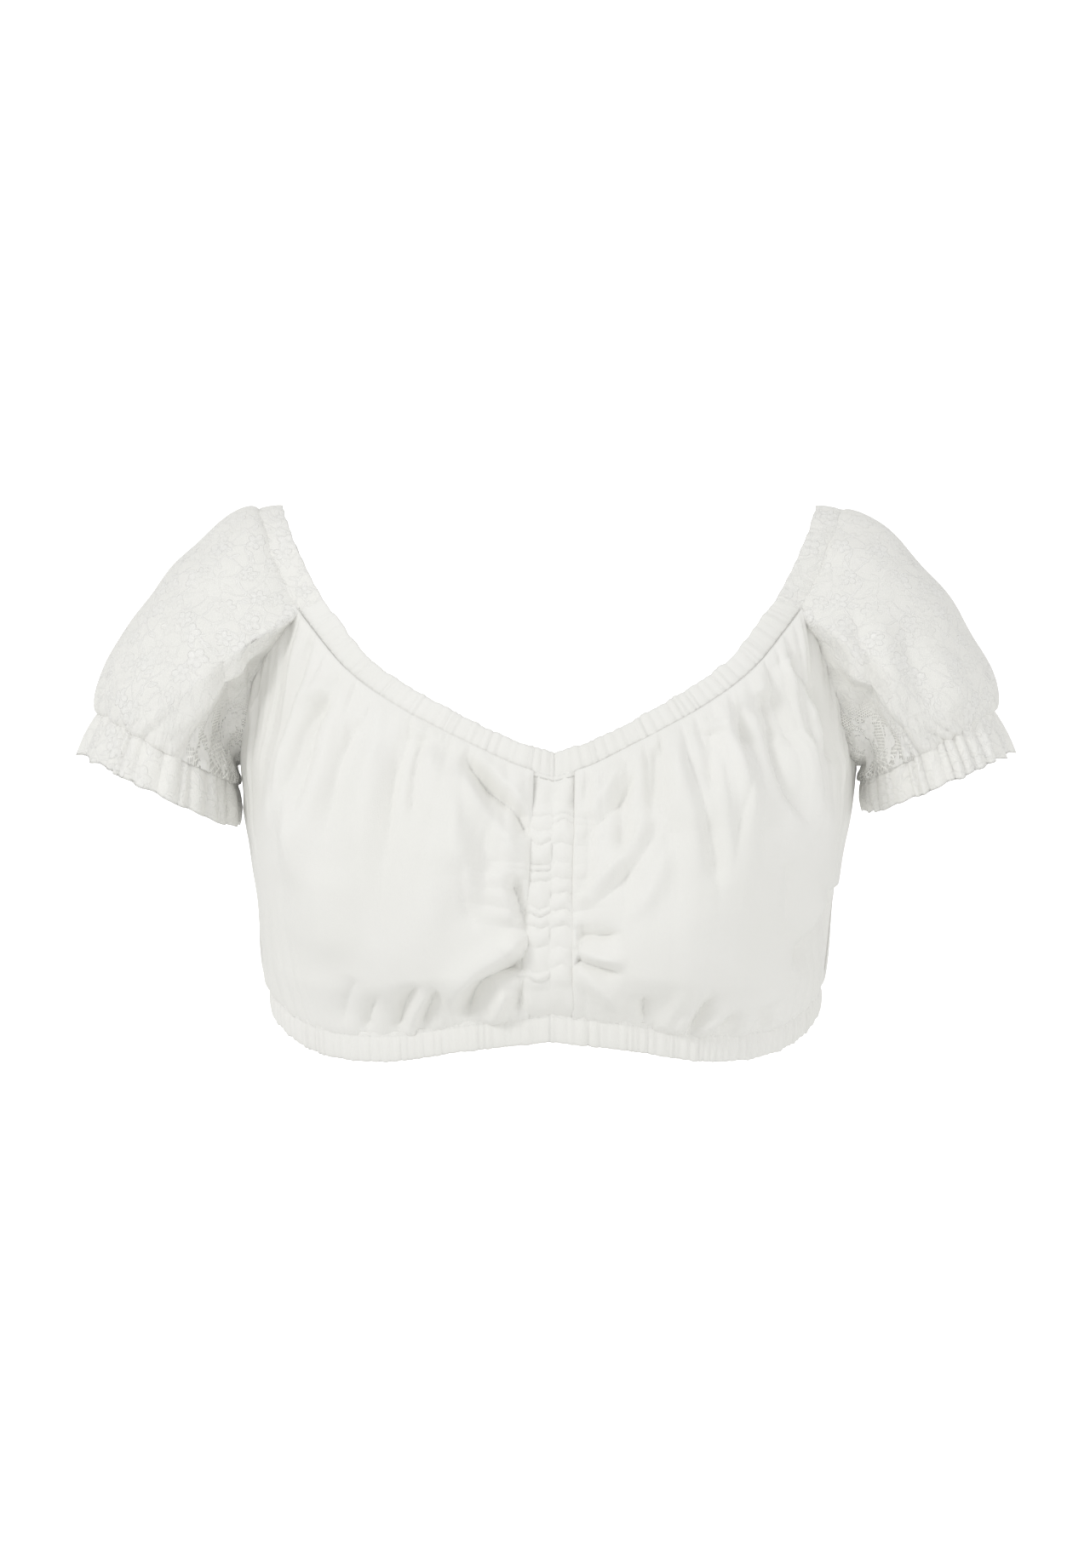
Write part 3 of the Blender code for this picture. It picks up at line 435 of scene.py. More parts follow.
LEFT_FOLDS = (
    Fold(((-121, -112), (-133, -144), (-132, -176), (-126, -214)), 3.2, 6, 7, (0.15, 0.4)),
    Fold(((-84, -124), (-92, -156), (-98, -196), (-96, -232)), 2.8, 7, 8, (0.2, 0.4)),
    Fold(((-78, -126), (-82, -160), (-84, -196)), -3.0, 5, 6, (0.2, 0.4)),
    Fold(((-58, -132), (-54, -160), (-50, -188), (-34, -214)), 2.8, 6, 7, (0.2, 0.4)),
    Fold(((-47, -184), (-44, -212), (-36, -228)), -2.8, 5, 6, (0.3, 0.3)),
    Fold(((-106, -98), (-123, -106), (-131, -128), (-142, -160), (-154, -185)), 5.1, 6, 8, (0.1, 0.3)),
    Fold(((-112, -102), (-122, -118), (-131, -146), (-141, -172)), -3.9, 4, 5, (0.2, 0.4)),
    Fold(((-93, -109), (-111, -124), (-114, -141), (-123, -162), (-131, -181), (-133, -214)), 4.5, 6, 8),
    Fold(((-95, -116), (-106, -132), (-112, -158), (-120, -184)), -3.3, 5, 6, (0.15, 0.5)),
    Fold(((-61, -128), (-62, -150), (-63, -174)), 3.3, 5, 7),
    Fold(((-66, -124), (-69, -141), (-72, -178)), -4.2, 5, 5, (0.1, 0.4)),
    Fold(((-50, -150), (-48, -175), (-39, -219)), 4.5, 8, 9),
    Fold(((-46, -134), (-31, -153), (-17, -166), (-9, -182)), -7.7, 6, 4, (0.2, 0.15)),
    Fold(((-38, -134), (-24, -151), (-10, -164)), 4.5, 5, 5, (0.2, 0.2)),
    Fold(((-50, -140), (-37, -162), (-24, -178), (-14, -192)), 4.4, 5, 7),
    Fold(((-21, -195), (-15, -212), (-9, -229)), -6.6, 4, 4, (0.3, 0.05)),
    Fold(((-30, -190), (-24, -212), (-18, -226)), 3.9, 7, 5),
    Fold(((-26, -238), (-17, -232), (-9, -230)), 5.1, 4, 4, (0.3, 0.1)),
    Fold(((-8, -240), (-21, -248), (-36, -259), (-45, -279)), -8.2, 4, 6, (0.05, 0.2)),
    Fold(((-12, -234), (-30, -242), (-47, -255), (-56, -274)), 4.6, 5, 8, (0.1, 0.4)),
    Fold(((-11, -250), (-14, -260), (-17, -273)), -4.6, 3.5, 3.5, (0.1, 0.3)),
    Fold(((-22, -256), (-26, -264), (-30, -276)), 3.9, 4, 4, (0.2, 0.2)),
    Fold(((-56, -256), (-63, -268), (-67, -281)), -5.4, 4, 4, (0.3, 0.1)),
    Fold(((-66, -254), (-76, -268), (-80, -284)), -4.8, 4, 4, (0.3, 0.1)),
    Fold(((-60, -256), (-69, -268), (-73, -282)), 3.6, 4, 4, (0.3, 0.1)),
    Fold(((-88, -258), (-94, -270), (-97, -285)), -3.6, 4, 4, (0.4, 0.1)),
    Fold(((-58, -172), (-62, -205), (-60, -240)), 2.1, 9, 11),
    Fold(((-84, -170), (-88, -215), (-82, -255)), -1.8, 9, 10),
    Fold(((-112, -190), (-117, -220), (-114, -250)), 2.1, 10, 10),
    Fold(((-140, -190), (-142, -220), (-136, -250)), -1.8, 8, 8),
    Fold(((-100, -250), (-106, -264), (-108, -280)), -2.4, 5, 5),
)
RIGHT_FOLDS = (
    Fold(((96, -112), (103, -142), (98, -172), (94, -206)), -3.4, 5, 7, (0.15, 0.4)),
    Fold(((77, -124), (88, -152), (94, -182), (95, -214)), 3.2, 6, 7, (0.15, 0.4)),
    Fold(((62, -130), (71, -156), (78, -184), (80, -206)), 2.8, 6, 7, (0.15, 0.4)),
    Fold(((68, -128), (78, -158), (86, -190), (88, -218)), -3.0, 4, 5, (0.2, 0.4)),
    Fold(((110, -104), (114, -142), (128, -172), (134, -204)), 3.4, 6, 7, (0.15, 0.4)),
    Fold(((125, -257), (108, -266), (92, -271), (64, -279)), 2.6, 5, 5, (0.2, 0.3)),
    Fold(((39, -139), (32, -151), (18, -168)), 4.2, 5, 4, (0.2, 0.2)),
    Fold(((46, -138), (40, -156), (26, -172), (14, -182)), -3.0, 3, 4),
    Fold(((52, -162), (46, -178), (30, -198), (14, -213)), 4.5, 6, 3.5, (0.25, 0.15)),
    Fold(((57, -164), (50, -184), (34, -204), (18, -218)), -2.7, 3, 5, (0.3, 0.3)),
    Fold(((62, -180), (54, -204), (38, -224)), 2.4, 5, 5, (0.3, 0.4)),
    Fold(((55, -128), (54, -150), (52, -172)), -3.6, 5, 5),
    Fold(((62, -122), (64, -150), (60, -178)), 2.7, 6, 7),
    Fold(((83, -122), (83, -140), (83, -160)), -4.2, 6, 6, (0.1, 0.4)),
    Fold(((79, -165), (81, -182), (88, -205)), -3.0, 6, 8),
    Fold(((85, -116), (98, -141), (108, -180)), 4.5, 7, 8, (0.1, 0.4)),
    Fold(((98, -108), (100, -120), (101, -134)), -2.4, 4, 4),
    Fold(((110, -100), (115, -124), (123, -153), (136, -176)), -7.2, 6, 7, (0.15, 0.3)),
    Fold(((128, -122), (136, -153), (146, -183)), 5.1, 8, 8, (0.2, 0.3)),
    Fold(((125, -187), (126, -206), (125, -228)), -3.3, 7, 8),
    Fold(((122, -84), (128, -92), (138, -104)), 3.3, 4, 5, (0.1, 0.4)),
    Fold(((122, -84), (142, -111), (150, -142)), -5.5, 4, 5, (0.1, 0.2)),
    Fold(((118, -88), (134, -110), (143, -140)), 3.9, 4, 4, (0.1, 0.3)),
    Fold(((111, -101), (115, -114), (119, -130)), -4.5, 4, 4),
    Fold(((150, -204), (141, -222), (130, -238)), 3.6, 9, 6, (0.3, 0.4)),
    Fold(((156, -204), (147, -222), (136, -238), (126, -252)), -7.7, 11, 4, (0.15, 0.35)),
    Fold(((49, -258), (49, -272), (48, -285)), -4.4, 4, 4, (0.3, 0.05)),
    Fold(((55, -284), (62, -270), (74, -254)), 3.0, 4, 4, (0.02, 0.4)),
    Fold(((62, -286), (70, -272), (83, -254)), 3.6, 4, 4, (0.02, 0.4)),
    Fold(((72, -288), (80, -277), (93, -262)), 3.6, 4, 4, (0.02, 0.4)),
    Fold(((67, -288), (76, -274), (88, -258)), -4.5, 3.5, 3.5, (0.02, 0.4)),
    Fold(((80, -290), (88, -280), (100, -266)), -4.2, 3.5, 3.5, (0.02, 0.4)),
    Fold(((90, -292), (99, -281), (112, -268)), 3.3, 4, 4, (0.02, 0.4)),
    Fold(((97, -292), (106, -282), (118, -270)), -3.9, 3.5, 3.5, (0.02, 0.4)),
    Fold(((104, -290), (114, -280), (127, -266)), 3.3, 4, 4, (0.02, 0.4)),
    Fold(((15, -236), (28, -240), (42, -243)), 4.8, 4, 4, (0.05, 0.4)),
    Fold(((14, -241), (27, -246), (40, -250)), -4.5, 3.5, 3.5, (0.05, 0.4)),
    Fold(((13, -244), (28, -256), (40, -270)), 4.2, 5, 6, (0.05, 0.4)),
    Fold(((14, -228), (26, -229), (40, -227)), -4.5, 3.5, 3.5, (0.05, 0.4)),
)
SLEEVE_FOLD_STRENGTH = 1.4
SLEEVE_FOLDS = {
    -1: (
        Fold(((-190, -50), (-184, -90), (-190, -135)), 2.2, 8, 9),
        Fold(((-176, -66), (-170, -100), (-176, -140)), -2.4, 7, 6),
        Fold(((-164, -74), (-162, -104), (-168, -140)), 2.0, 5, 6),
        Fold(((-150, -60), (-158, -84), (-164, -112)), -1.8, 5, 5),
        Fold(((-208, -66), (-206, -100), (-212, -130)), -1.6, 9, 9),
        Fold(((-228, -92), (-226, -108), (-230, -124)), 1.4, 7, 7),
    ),
    1: (
        Fold(((158, -50), (166, -84), (172, -128)), -2.6, 6, 6),
        Fold(((170, -56), (178, -90), (186, -134)), 2.4, 7, 8),
        Fold(((184, -60), (194, -92), (202, -128)), -2.2, 8, 7),
        Fold(((200, -70), (210, -96), (220, -120)), 1.8, 8, 8),
        Fold(((160, -100), (163, -118), (168, -140)), 2.0, 4, 4),
        Fold(((152, -66), (160, -86), (164, -110)), 1.8, 4, 4),
    ),
}


class Sheet:
    """A grid of cloth points with a direction out, from which a thin shell is made."""

    def __init__(self, grid: np.ndarray, wrap: bool = False) -> None:
        self.grid = grid
        self.wrap = wrap
        self.lift = np.zeros(grid.shape[:2])
        self.tuck = np.zeros(grid.shape[:2])
        self.normals = self.make_normals(grid)

    def make_normals(self, grid: np.ndarray) -> np.ndarray:
        """Directions out of the cloth."""
        if self.wrap:
            across = np.roll(grid, -1, axis=1) - np.roll(grid, 1, axis=1)
        else:
            across = np.gradient(grid, axis=1)
        return unit(np.cross(across, np.gradient(grid, axis=0)))

    def face_away(self, middle: np.ndarray) -> None:
        """Turns the directions away from the middle line of the form."""
        if np.sum(self.normals * (self.grid - middle)) < 0:
            self.normals = -self.normals

    def sizes(self) -> np.ndarray:
        """Flat coordinates of each point in metres: along the row and along the column."""
        across = lengths_along(np.swapaxes(self.grid, 0, 1)).T
        along = lengths_along(self.grid)
        return np.stack((across, along), axis=-1) * MM

    def with_flaps(self) -> "Sheet":
        """The same sheet with a flap along both sides, turned under the cloth beside it."""
        first = self.grid[:, :1] + unit(self.grid[:, :1] - self.grid[:, 1:2]) * FLAP_WIDTH
        last = self.grid[:, -1:] + unit(self.grid[:, -1:] - self.grid[:, -2:-1]) * FLAP_WIDTH
        wide = Sheet(np.concatenate((first, self.grid, last), axis=1))
        wide.face_away(wide.grid * np.array((0.0, 0.0, 1.0)))
        wide.lift = np.pad(self.lift, ((0, 0), (1, 1)), constant_values=-FLAP_DEPTH)
        wide.tuck = np.pad(self.tuck, ((0, 0), (1, 1)), mode="edge")
        return wide

    def points(self) -> np.ndarray:
        """Points of the folded cloth."""
        upward = unit(np.gradient(self.grid, axis=0))
        return self.grid + self.normals * self.lift[..., None] + upward * self.tuck[..., None]


class Model:
    """Makes meshes and parents each one to the root body's empty."""

    def __init__(self) -> None:
        self.count = 0

    def mesh(self, name: str, points: np.ndarray, faces: np.ndarray, uv: np.ndarray | None,
             materials: Sequence[bpy.types.Material], slots: np.ndarray | None = None) -> bpy.types.Object:
        """Adds a mesh of quads.

        Args:
            name: Name of the object.
            points: Vertices in millimetres.
            faces: Four vertex numbers a face.
            uv: Flat coordinates in metres, two for each vertex.
            materials: Its materials.
            slots: The material number of each face.

        Returns:
            The new object.
        """
        mesh = bpy.data.meshes.new(name)
        mesh.vertices.add(len(points))
        mesh.vertices.foreach_set("co", (points * MM).astype(np.float32).ravel())
        mesh.loops.add(faces.size)
        mesh.loops.foreach_set("vertex_index", faces.astype(np.int32).ravel())
        mesh.polygons.add(len(faces))
        mesh.polygons.foreach_set("loop_start", (np.arange(len(faces)) * 4).astype(np.int32))
        if uv is not None:
            layer = mesh.uv_layers.new(name="flat")
            layer.data.foreach_set("uv", uv[faces.ravel()].astype(np.float32).ravel())
        for material in materials:
            mesh.materials.append(material)
        if slots is not None:
            mesh.polygons.foreach_set("material_index", slots.astype(np.int32))
        mesh.update(calc_edges=True)
        mesh.validate()
        mesh.shade_smooth()
        made = bpy.data.objects.new(name, mesh)
        bpy.context.collection.objects.link(made)
        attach(made, "root")
        self.count += 1
        print(f"{self.count:2d} {name}: {len(faces)} faces")
        return made

    def shell(self, name: str, sheet: Sheet, wall: float, material: bpy.types.Material) -> bpy.types.Object:
        """Adds a thin shell of cloth with an outer side, an inner side and rims."""
        middle = sheet.points()
        out = sheet.make_normals(middle)
        out *= np.sign(np.sum(out * sheet.normals, axis=-1, keepdims=True))
        half = out * wall / 2
        points = np.concatenate(((middle + half).reshape(-1, 3), (middle - half).reshape(-1, 3)))
        uv = sheet.sizes().reshape(-1, 2)
        rows, columns = sheet.lift.shape
        index = np.arange(rows * columns).reshape(rows, columns)
        beside = np.roll(index, -1, axis=1) if sheet.wrap else index[:, 1:]
        here = index if sheet.wrap else index[:, :-1]
        outer = np.stack((here[:-1], beside[:-1], beside[1:], here[1:]), axis=-1).reshape(-1, 4)
        start = points[outer[:, 0]]
        facing = np.cross(points[outer[:, 1]] - start, points[outer[:, 3]] - start)
        if np.sum(facing * out.reshape(-1, 3)[outer[:, 0]]) < 0:
            outer = outer[:, ::-1]
        count = rows * columns
        rims = []
        for one, two in ((here[0], beside[0]), (here[-1], beside[-1])):
            rims.append(np.stack((one, two, two + count, one + count), axis=-1))
        if not sheet.wrap:
            for line in (index[:, 0], index[:, -1]):
                rims.append(np.stack((line[:-1], line[1:], line[1:] + count, line[:-1] + count), axis=-1))
        faces = np.concatenate([outer, outer[:, ::-1] + count] + rims)
        return self.mesh(name, points, faces, np.concatenate((uv, uv)), [material])

    def band(self, name: str, profile: np.ndarray, uv: np.ndarray, materials: Sequence[bpy.types.Material],
             slots: Callable[[np.ndarray], np.ndarray] | None = None) -> bpy.types.Object:
        """Adds a closed band, whose profile runs all round a ring."""
        levels, columns = profile.shape[:2]
        index = np.arange(levels * columns).reshape(levels, columns)
        beside = np.roll(index, -1, axis=1)
        above = np.roll(index, -1, axis=0)
        corner = np.roll(beside, -1, axis=0)
        faces = np.stack((index, beside, corner, above), axis=-1).reshape(-1, 4)
        numbers = None
        if slots is not None:
            numbers = np.tile(slots(np.arange(columns)), levels)
        return self.mesh(name, profile.reshape(-1, 3), faces, uv.reshape(-1, 2), materials, numbers)


class Value:
    """One shader socket, with Python's own signs for the maths on it."""

    def __init__(self, tree: bpy.types.NodeTree, socket: bpy.types.NodeSocket) -> None:
        self.tree = tree
        self.socket = socket

    def math(self, operation: str, *others: Value | float, first: Value | float | None = None) -> Value:
        """A math node on this value and others."""
        node = self.tree.nodes.new("ShaderNodeMath")
        node.operation = operation
        for place, other in enumerate((self if first is None else first,) + others):
            if isinstance(other, Value):
                self.tree.links.new(other.socket, node.inputs[place])
            else:
                node.inputs[place].default_value = other
        return Value(self.tree, node.outputs[0])

    def __add__(self, other: Value | float) -> Value:
        return self.math("ADD", other)

    __radd__ = __add__

    def __sub__(self, other: Value | float) -> Value:
        return self.math("SUBTRACT", other)

    def __rsub__(self, other: float) -> Value:
        return self.math("SUBTRACT", self, first=other)

    def __mul__(self, other: Value | float) -> Value:
        return self.math("MULTIPLY", other)

    __rmul__ = __mul__

    def __truediv__(self, other: Value | float) -> Value:
        return self.math("DIVIDE", other)

    def __rtruediv__(self, other: float) -> Value:
        return self.math("DIVIDE", self, first=other)

    def __neg__(self) -> Value:
        return self.math("MULTIPLY", -1.0)

    def __abs__(self) -> Value:
        return self.math("ABSOLUTE")

    def rise(self, low: float, high: float) -> Value:
        """0 below low, 1 above high, and a soft step between."""
        node = self.tree.nodes.new("ShaderNodeMapRange")
        node.interpolation_type = "SMOOTHSTEP"
        self.tree.links.new(self.socket, node.inputs["Value"])
        node.inputs["From Min"].default_value = low
        node.inputs["From Max"].default_value = high
        return Value(self.tree, node.outputs["Result"])

    def at_least(self, other: Value | float) -> Value:
        """The larger of two values."""
        return self.math("MAXIMUM", other)

    def at_most(self, other: Value | float) -> Value:
        """The smaller of two values."""
        return self.math("MINIMUM", other)


class Finish:
    """A material whose surface is worked out from the cloth's flat coordinates."""

    def __init__(self, name: str, colour: Colour, roughness: float) -> None:
        self.material = bpy.data.materials.new(name)
        self.material.use_nodes = True
        self.tree = self.material.node_tree
        self.shader = self.tree.nodes["Principled BSDF"]
        self.shader.inputs["Base Color"].default_value = (*colour, 1.0)
        self.shader.inputs["Roughness"].default_value = roughness

    def node(self, kind: str, output: str, settings: dict | None = None, **inputs: object) -> Value:
        """Adds any node.

        Args:
            kind: Blender's name of the node.
            output: The output to return.
            settings: Attributes of the node.
            inputs: Values or sockets, with spaces in their names written as underscores.

        Returns:
            The output as a value.
        """
        node = self.tree.nodes.new(kind)
        for key, value in (settings or {}).items():
            setattr(node, key, value)
        for key, value in inputs.items():
            named = {socket.identifier: socket for socket in node.inputs}
            socket = named.get(key) or node.inputs[key.replace("_", " ")]
            if isinstance(value, Value):
                self.tree.links.new(value.socket, socket)
            else:
                socket.default_value = value
        return Value(self.tree, node.outputs[output])

    def flat(self) -> Value:
        """The cloth's flat coordinates in metres."""
        return self.node("ShaderNodeUVMap", "UV", {"uv_map": "flat"})

    def split(self, vector: Value) -> tuple[Value, Value]:
        """The first two parts of a vector."""
        node = self.tree.nodes.new("ShaderNodeSeparateXYZ")
        self.tree.links.new(vector.socket, node.inputs[0])
        return Value(self.tree, node.outputs[0]), Value(self.tree, node.outputs[1])

    def join(self, first: Value | float, second: Value | float) -> Value:
        """A vector of two parts."""
        return self.node("ShaderNodeCombineXYZ", "Vector", X=first, Y=second)

    def noise(self, vector: Value, scale: float, detail: float = 2.0) -> Value:
        """Noise about 0.5."""
        return self.node("ShaderNodeTexNoise", "Fac", Vector=vector, Scale=scale, Detail=detail)

    def feed(self, name: str, value: Value) -> None:
        """Feeds a value to the shader."""
        self.tree.links.new(value.socket, self.shader.inputs[name])

    def mix_with(self, other: bpy.types.Node, share: Value | float) -> None:
        """Mixes a share of another shader into the surface."""
        mix = self.tree.nodes.new("ShaderNodeMixShader")
        if isinstance(share, Value):
            self.tree.links.new(share.socket, mix.inputs["Fac"])
        else:
            mix.inputs["Fac"].default_value = share
        self.tree.links.new(self.shader.outputs[0], mix.inputs[1])
        self.tree.links.new(other.outputs[0], mix.inputs[2])
        self.tree.links.new(mix.outputs[0], self.tree.nodes["Material Output"].inputs["Surface"])

    def let_light_through(self, share: float) -> None:
        """Mixes in cloth that light passes through."""
        through = self.tree.nodes.new("ShaderNodeBsdfTranslucent")
        through.inputs["Color"].default_value = (0.93, 0.93, 0.91, 1.0)
        self.mix_with(through, share)

    def show_front_only(self) -> None:
        """Makes the surface clear from behind."""
        clear = self.tree.nodes.new("ShaderNodeBsdfTransparent")
        self.mix_with(clear, self.node("ShaderNodeNewGeometry", "Backfacing"))

    def raise_by(self, height: Value, distance: float, strength: float = 1.0) -> None:
        """Raises the surface by a height between 0 and 1 times a distance."""
        normal = self.node("ShaderNodeBump", "Normal", Height=height, Distance=distance, Strength=strength)
        self.feed("Normal", normal)

    def blend(self, factor: Value, first: Colour, second: Colour) -> None:
        """Feeds a blend of two colours to the base colour."""
        mix = self.tree.nodes.new("ShaderNodeMix")
        mix.data_type = "RGBA"
        self.tree.links.new(factor.socket, mix.inputs[0])
        mix.inputs[6].default_value = (*first, 1.0)
        mix.inputs[7].default_value = (*second, 1.0)
        self.tree.links.new(mix.outputs[2], self.shader.inputs["Base Color"])


def make_cotton() -> bpy.types.Material:
    """Off-white plain cotton: uneven threads and slight creasing."""
    finish = Finish("cotton", (0.87, 0.87, 0.84), 0.92)
    finish.shader.inputs["Specular IOR Level"].default_value = 0.25
    finish.shader.inputs["Sheen Weight"].default_value = 0.12
    flat = finish.flat()
    across, along = finish.split(flat)
    threads = finish.noise(finish.join(across * 2.0, along * 14.0), 260.0, 1.0)
    picks = finish.noise(finish.join(across * 14.0, along * 2.0), 260.0, 1.0)
    creases = finish.noise(flat, 60.0, 4.0)
    finish.raise_by(threads * 0.25 + picks * 0.25 + creases * 0.5, 0.0006, 0.5)
    finish.blend(finish.noise(flat, 14.0, 2.0).rise(0.3, 0.7), (0.866, 0.863, 0.833), (0.886, 0.882, 0.857))
    return finish.material


@dataclass
class LacePattern:
    """Flowers, leaves and stems on net.

    Attributes:
        finish: The finish that the pattern is drawn in.
        flower_size: Width of a flower's cell in metres.
        leaf_size: Width of a leaf's cell.
        mesh_size: Width of one hole of the net.
    """

    finish: Finish
    flower_size: float = 0.0165
    leaf_size: float = 0.0085
    mesh_size: float = 0.0014

    def cells(self, flat: Value, size: float, uneven: float) -> tuple[Value, Value, Value]:
        """Place within the nearest cell, in cells, and a number of the cell's own."""
        scaled = self.finish.node(
            "ShaderNodeVectorMath", "Vector", {"operation": "SCALE"}, Vector=flat, Scale=1.0 / size
        )
        node = self.finish.tree.nodes.new("ShaderNodeTexVoronoi")
        node.voronoi_dimensions = "2D"
        node.inputs["Scale"].default_value = 1.0
        node.inputs["Randomness"].default_value = uneven
        self.finish.tree.links.new(scaled.socket, node.inputs["Vector"])
        tree = self.finish.tree
        across, along = self.finish.split(scaled)
        middle_across, middle_along = self.finish.split(Value(tree, node.outputs["Position"]))
        own, _ = self.finish.split(Value(tree, node.outputs["Color"]))
        return across - middle_across, along - middle_along, own

    def flowers(self, flat: Value) -> tuple[Value, Value]:
        """Where flowers are, and how high their petals stand."""
        across, along, own = self.cells(flat, self.flower_size, 1.0)
        away = (across * across + along * along).math("SQRT")
        turn = along.math("ARCTAN2", across)
        petal = abs((turn * 2.5 + own * 6.3).math("COSINE"))
        edge = petal * 0.14 + 0.14 + own * 0.14
        inside = (edge - away).rise(0.0, 0.035)
        rib = petal.rise(0.15, 0.6)
        heart = (0.075 - away).rise(-0.01, 0.02)
        outline = 1.0 - abs(edge - away - 0.035).rise(0.012, 0.03)
        height = inside * (0.45 + 0.35 * rib) + outline * 0.35 + heart * 0.5
        return inside, height

    def leaves(self, flat: Value) -> tuple[Value, Value]:
        """Where leaves are, and how high they stand."""
        across, along, own = self.cells(flat, self.leaf_size, 0.85)
        lean = own * 6.3
        sine, cosine = lean.math("SINE"), lean.math("COSINE")
        length = across * cosine + along * sine
        width = along * cosine - across * sine
        edge = 0.17 - length * length * 0.9
        inside = (edge - abs(width)).rise(0.0, 0.04)
        rib = 1.0 - abs(width).rise(0.01, 0.04)
        return inside, inside * (0.7 - 0.35 * rib)

    def stems(self, flat: Value) -> Value:
        """Curved lines that join the flowers."""
        bend = self.finish.node("ShaderNodeTexNoise", "Color", Vector=flat, Scale=50.0, Detail=1.0)
        bent = self.finish.node(
            "ShaderNodeVectorMath", "Vector", {"operation": "MULTIPLY_ADD"},
            Vector=bend, Vector_001=(0.012, 0.012, 0.0), Vector_002=flat,
        )
        edge = self.finish.node(
            "ShaderNodeTexVoronoi", "Distance", {"voronoi_dimensions": "2D", "feature": "DISTANCE_TO_EDGE"},
            Vector=bent, Scale=95.0,
        )
        return 1.0 - edge.rise(0.02, 0.06)

    def underarm(self) -> Value:
        """1 at the underarm, where the lace is plain open net, and 0 away from it."""
        place = self.finish.node("ShaderNodeTexCoord", "Object")
        folded = self.finish.node("ShaderNodeVectorMath", "Vector", {"operation": "ABSOLUTE"}, Vector=place)
        away = self.finish.node(
            "ShaderNodeVectorMath", "Value", {"operation": "DISTANCE"}, Vector=folded, Vector_001=UNDERARM
        )
        return 1.0 - away.rise(0.016, 0.036)

    def net(self, flat: Value) -> Value:
        """Threads of the net, round six-sided holes."""
        across, along = self.finish.split(flat)
        ratio = math.sqrt(3.0)
        holes = []
        for shift in (0.0, 0.5):
            first = (across / self.mesh_size + shift).math("FRACT") - 0.5
            second = ((along / (self.mesh_size * ratio) + shift).math("FRACT") - 0.5) * ratio
            slant = abs(first) * 0.5 + abs(second) * (ratio / 2)
            holes.append(abs(first).at_least(slant))
        return holes[0].at_most(holes[1]).rise(0.33, 0.42)


def make_lace(name: str, sheer: bool) -> bpy.types.Material:
    """Off-white lace with glossy threads, painted lighter than its own colour to make up for the shade that
    falls on the sleeves.

    Args:
        name: Name of the material.
        sheer: Whether the net's holes are open.

    Returns:
        The material.
    """
    finish = Finish(name, (0.86, 0.86, 0.825), 0.5)
    flat = finish.flat()
    pattern = LacePattern(finish)
    flower, flower_height = pattern.flowers(flat)
    leaf, leaf_height = pattern.leaves(flat)
    stem = pattern.stems(flat)
    motif = flower.at_least(leaf).at_least(stem)
    net = pattern.net(flat)
    dense = finish.noise(flat, 34.0, 3.0).rise(0.35, 0.62)
    height = flower_height.at_least(leaf_height * 0.8).at_least(stem * 0.5) * (0.35 + 0.65 * dense)
    across, along = finish.split(flat)
    threads = ((across + along) * 7200.0).math("SINE") * 0.5 + 0.5
    rough = finish.noise(flat, 750.0, 3.0)
    finish.raise_by(height + motif * threads * 0.14 + net * 0.1 + rough * 0.35, 0.001, 0.55)
    shine = finish.noise(flat, 90.0, 2.0).rise(0.52, 0.68)
    finish.feed("Roughness", 0.62 - motif * shine * 0.42)
    finish.shader.inputs["Specular IOR Level"].default_value = 0.6
    # painted light: both colours are whiter than the lace's own, to make up for the shade that falls on the
    # sleeves and cuffs
    finish.blend(motif * dense, (0.945, 0.940, 0.908), (0.970, 0.966, 0.942))
    finish.let_light_through(0.08)
    if sheer:
        opening = pattern.underarm()
        closed = 0.97 - 0.88 * opening
        finish.feed("Alpha", motif.at_least(net * (1.0 - closed) + closed))
    return finish.material


def make_plain(name: str, colour: Colour, roughness: float) -> bpy.types.Material:
    """A plain matt finish, slightly uneven."""
    finish = Finish(name, colour, roughness)
    place = finish.node("ShaderNodeTexCoord", "Object")
    finish.raise_by(finish.noise(place, 8.0, 2.0), 0.0002, 0.2)
    return finish.material


@dataclass
class Materials:
    """The finishes of the blouse."""

    cotton: bpy.types.Material = field(default_factory=make_cotton)
    lace: bpy.types.Material = field(default_factory=lambda: make_lace("lace", True))
    folded_lace: bpy.types.Material = field(default_factory=lambda: make_lace("folded_lace", False))
    thread: bpy.types.Material = field(default_factory=lambda: make_plain("thread", (0.90, 0.90, 0.88), 0.55))


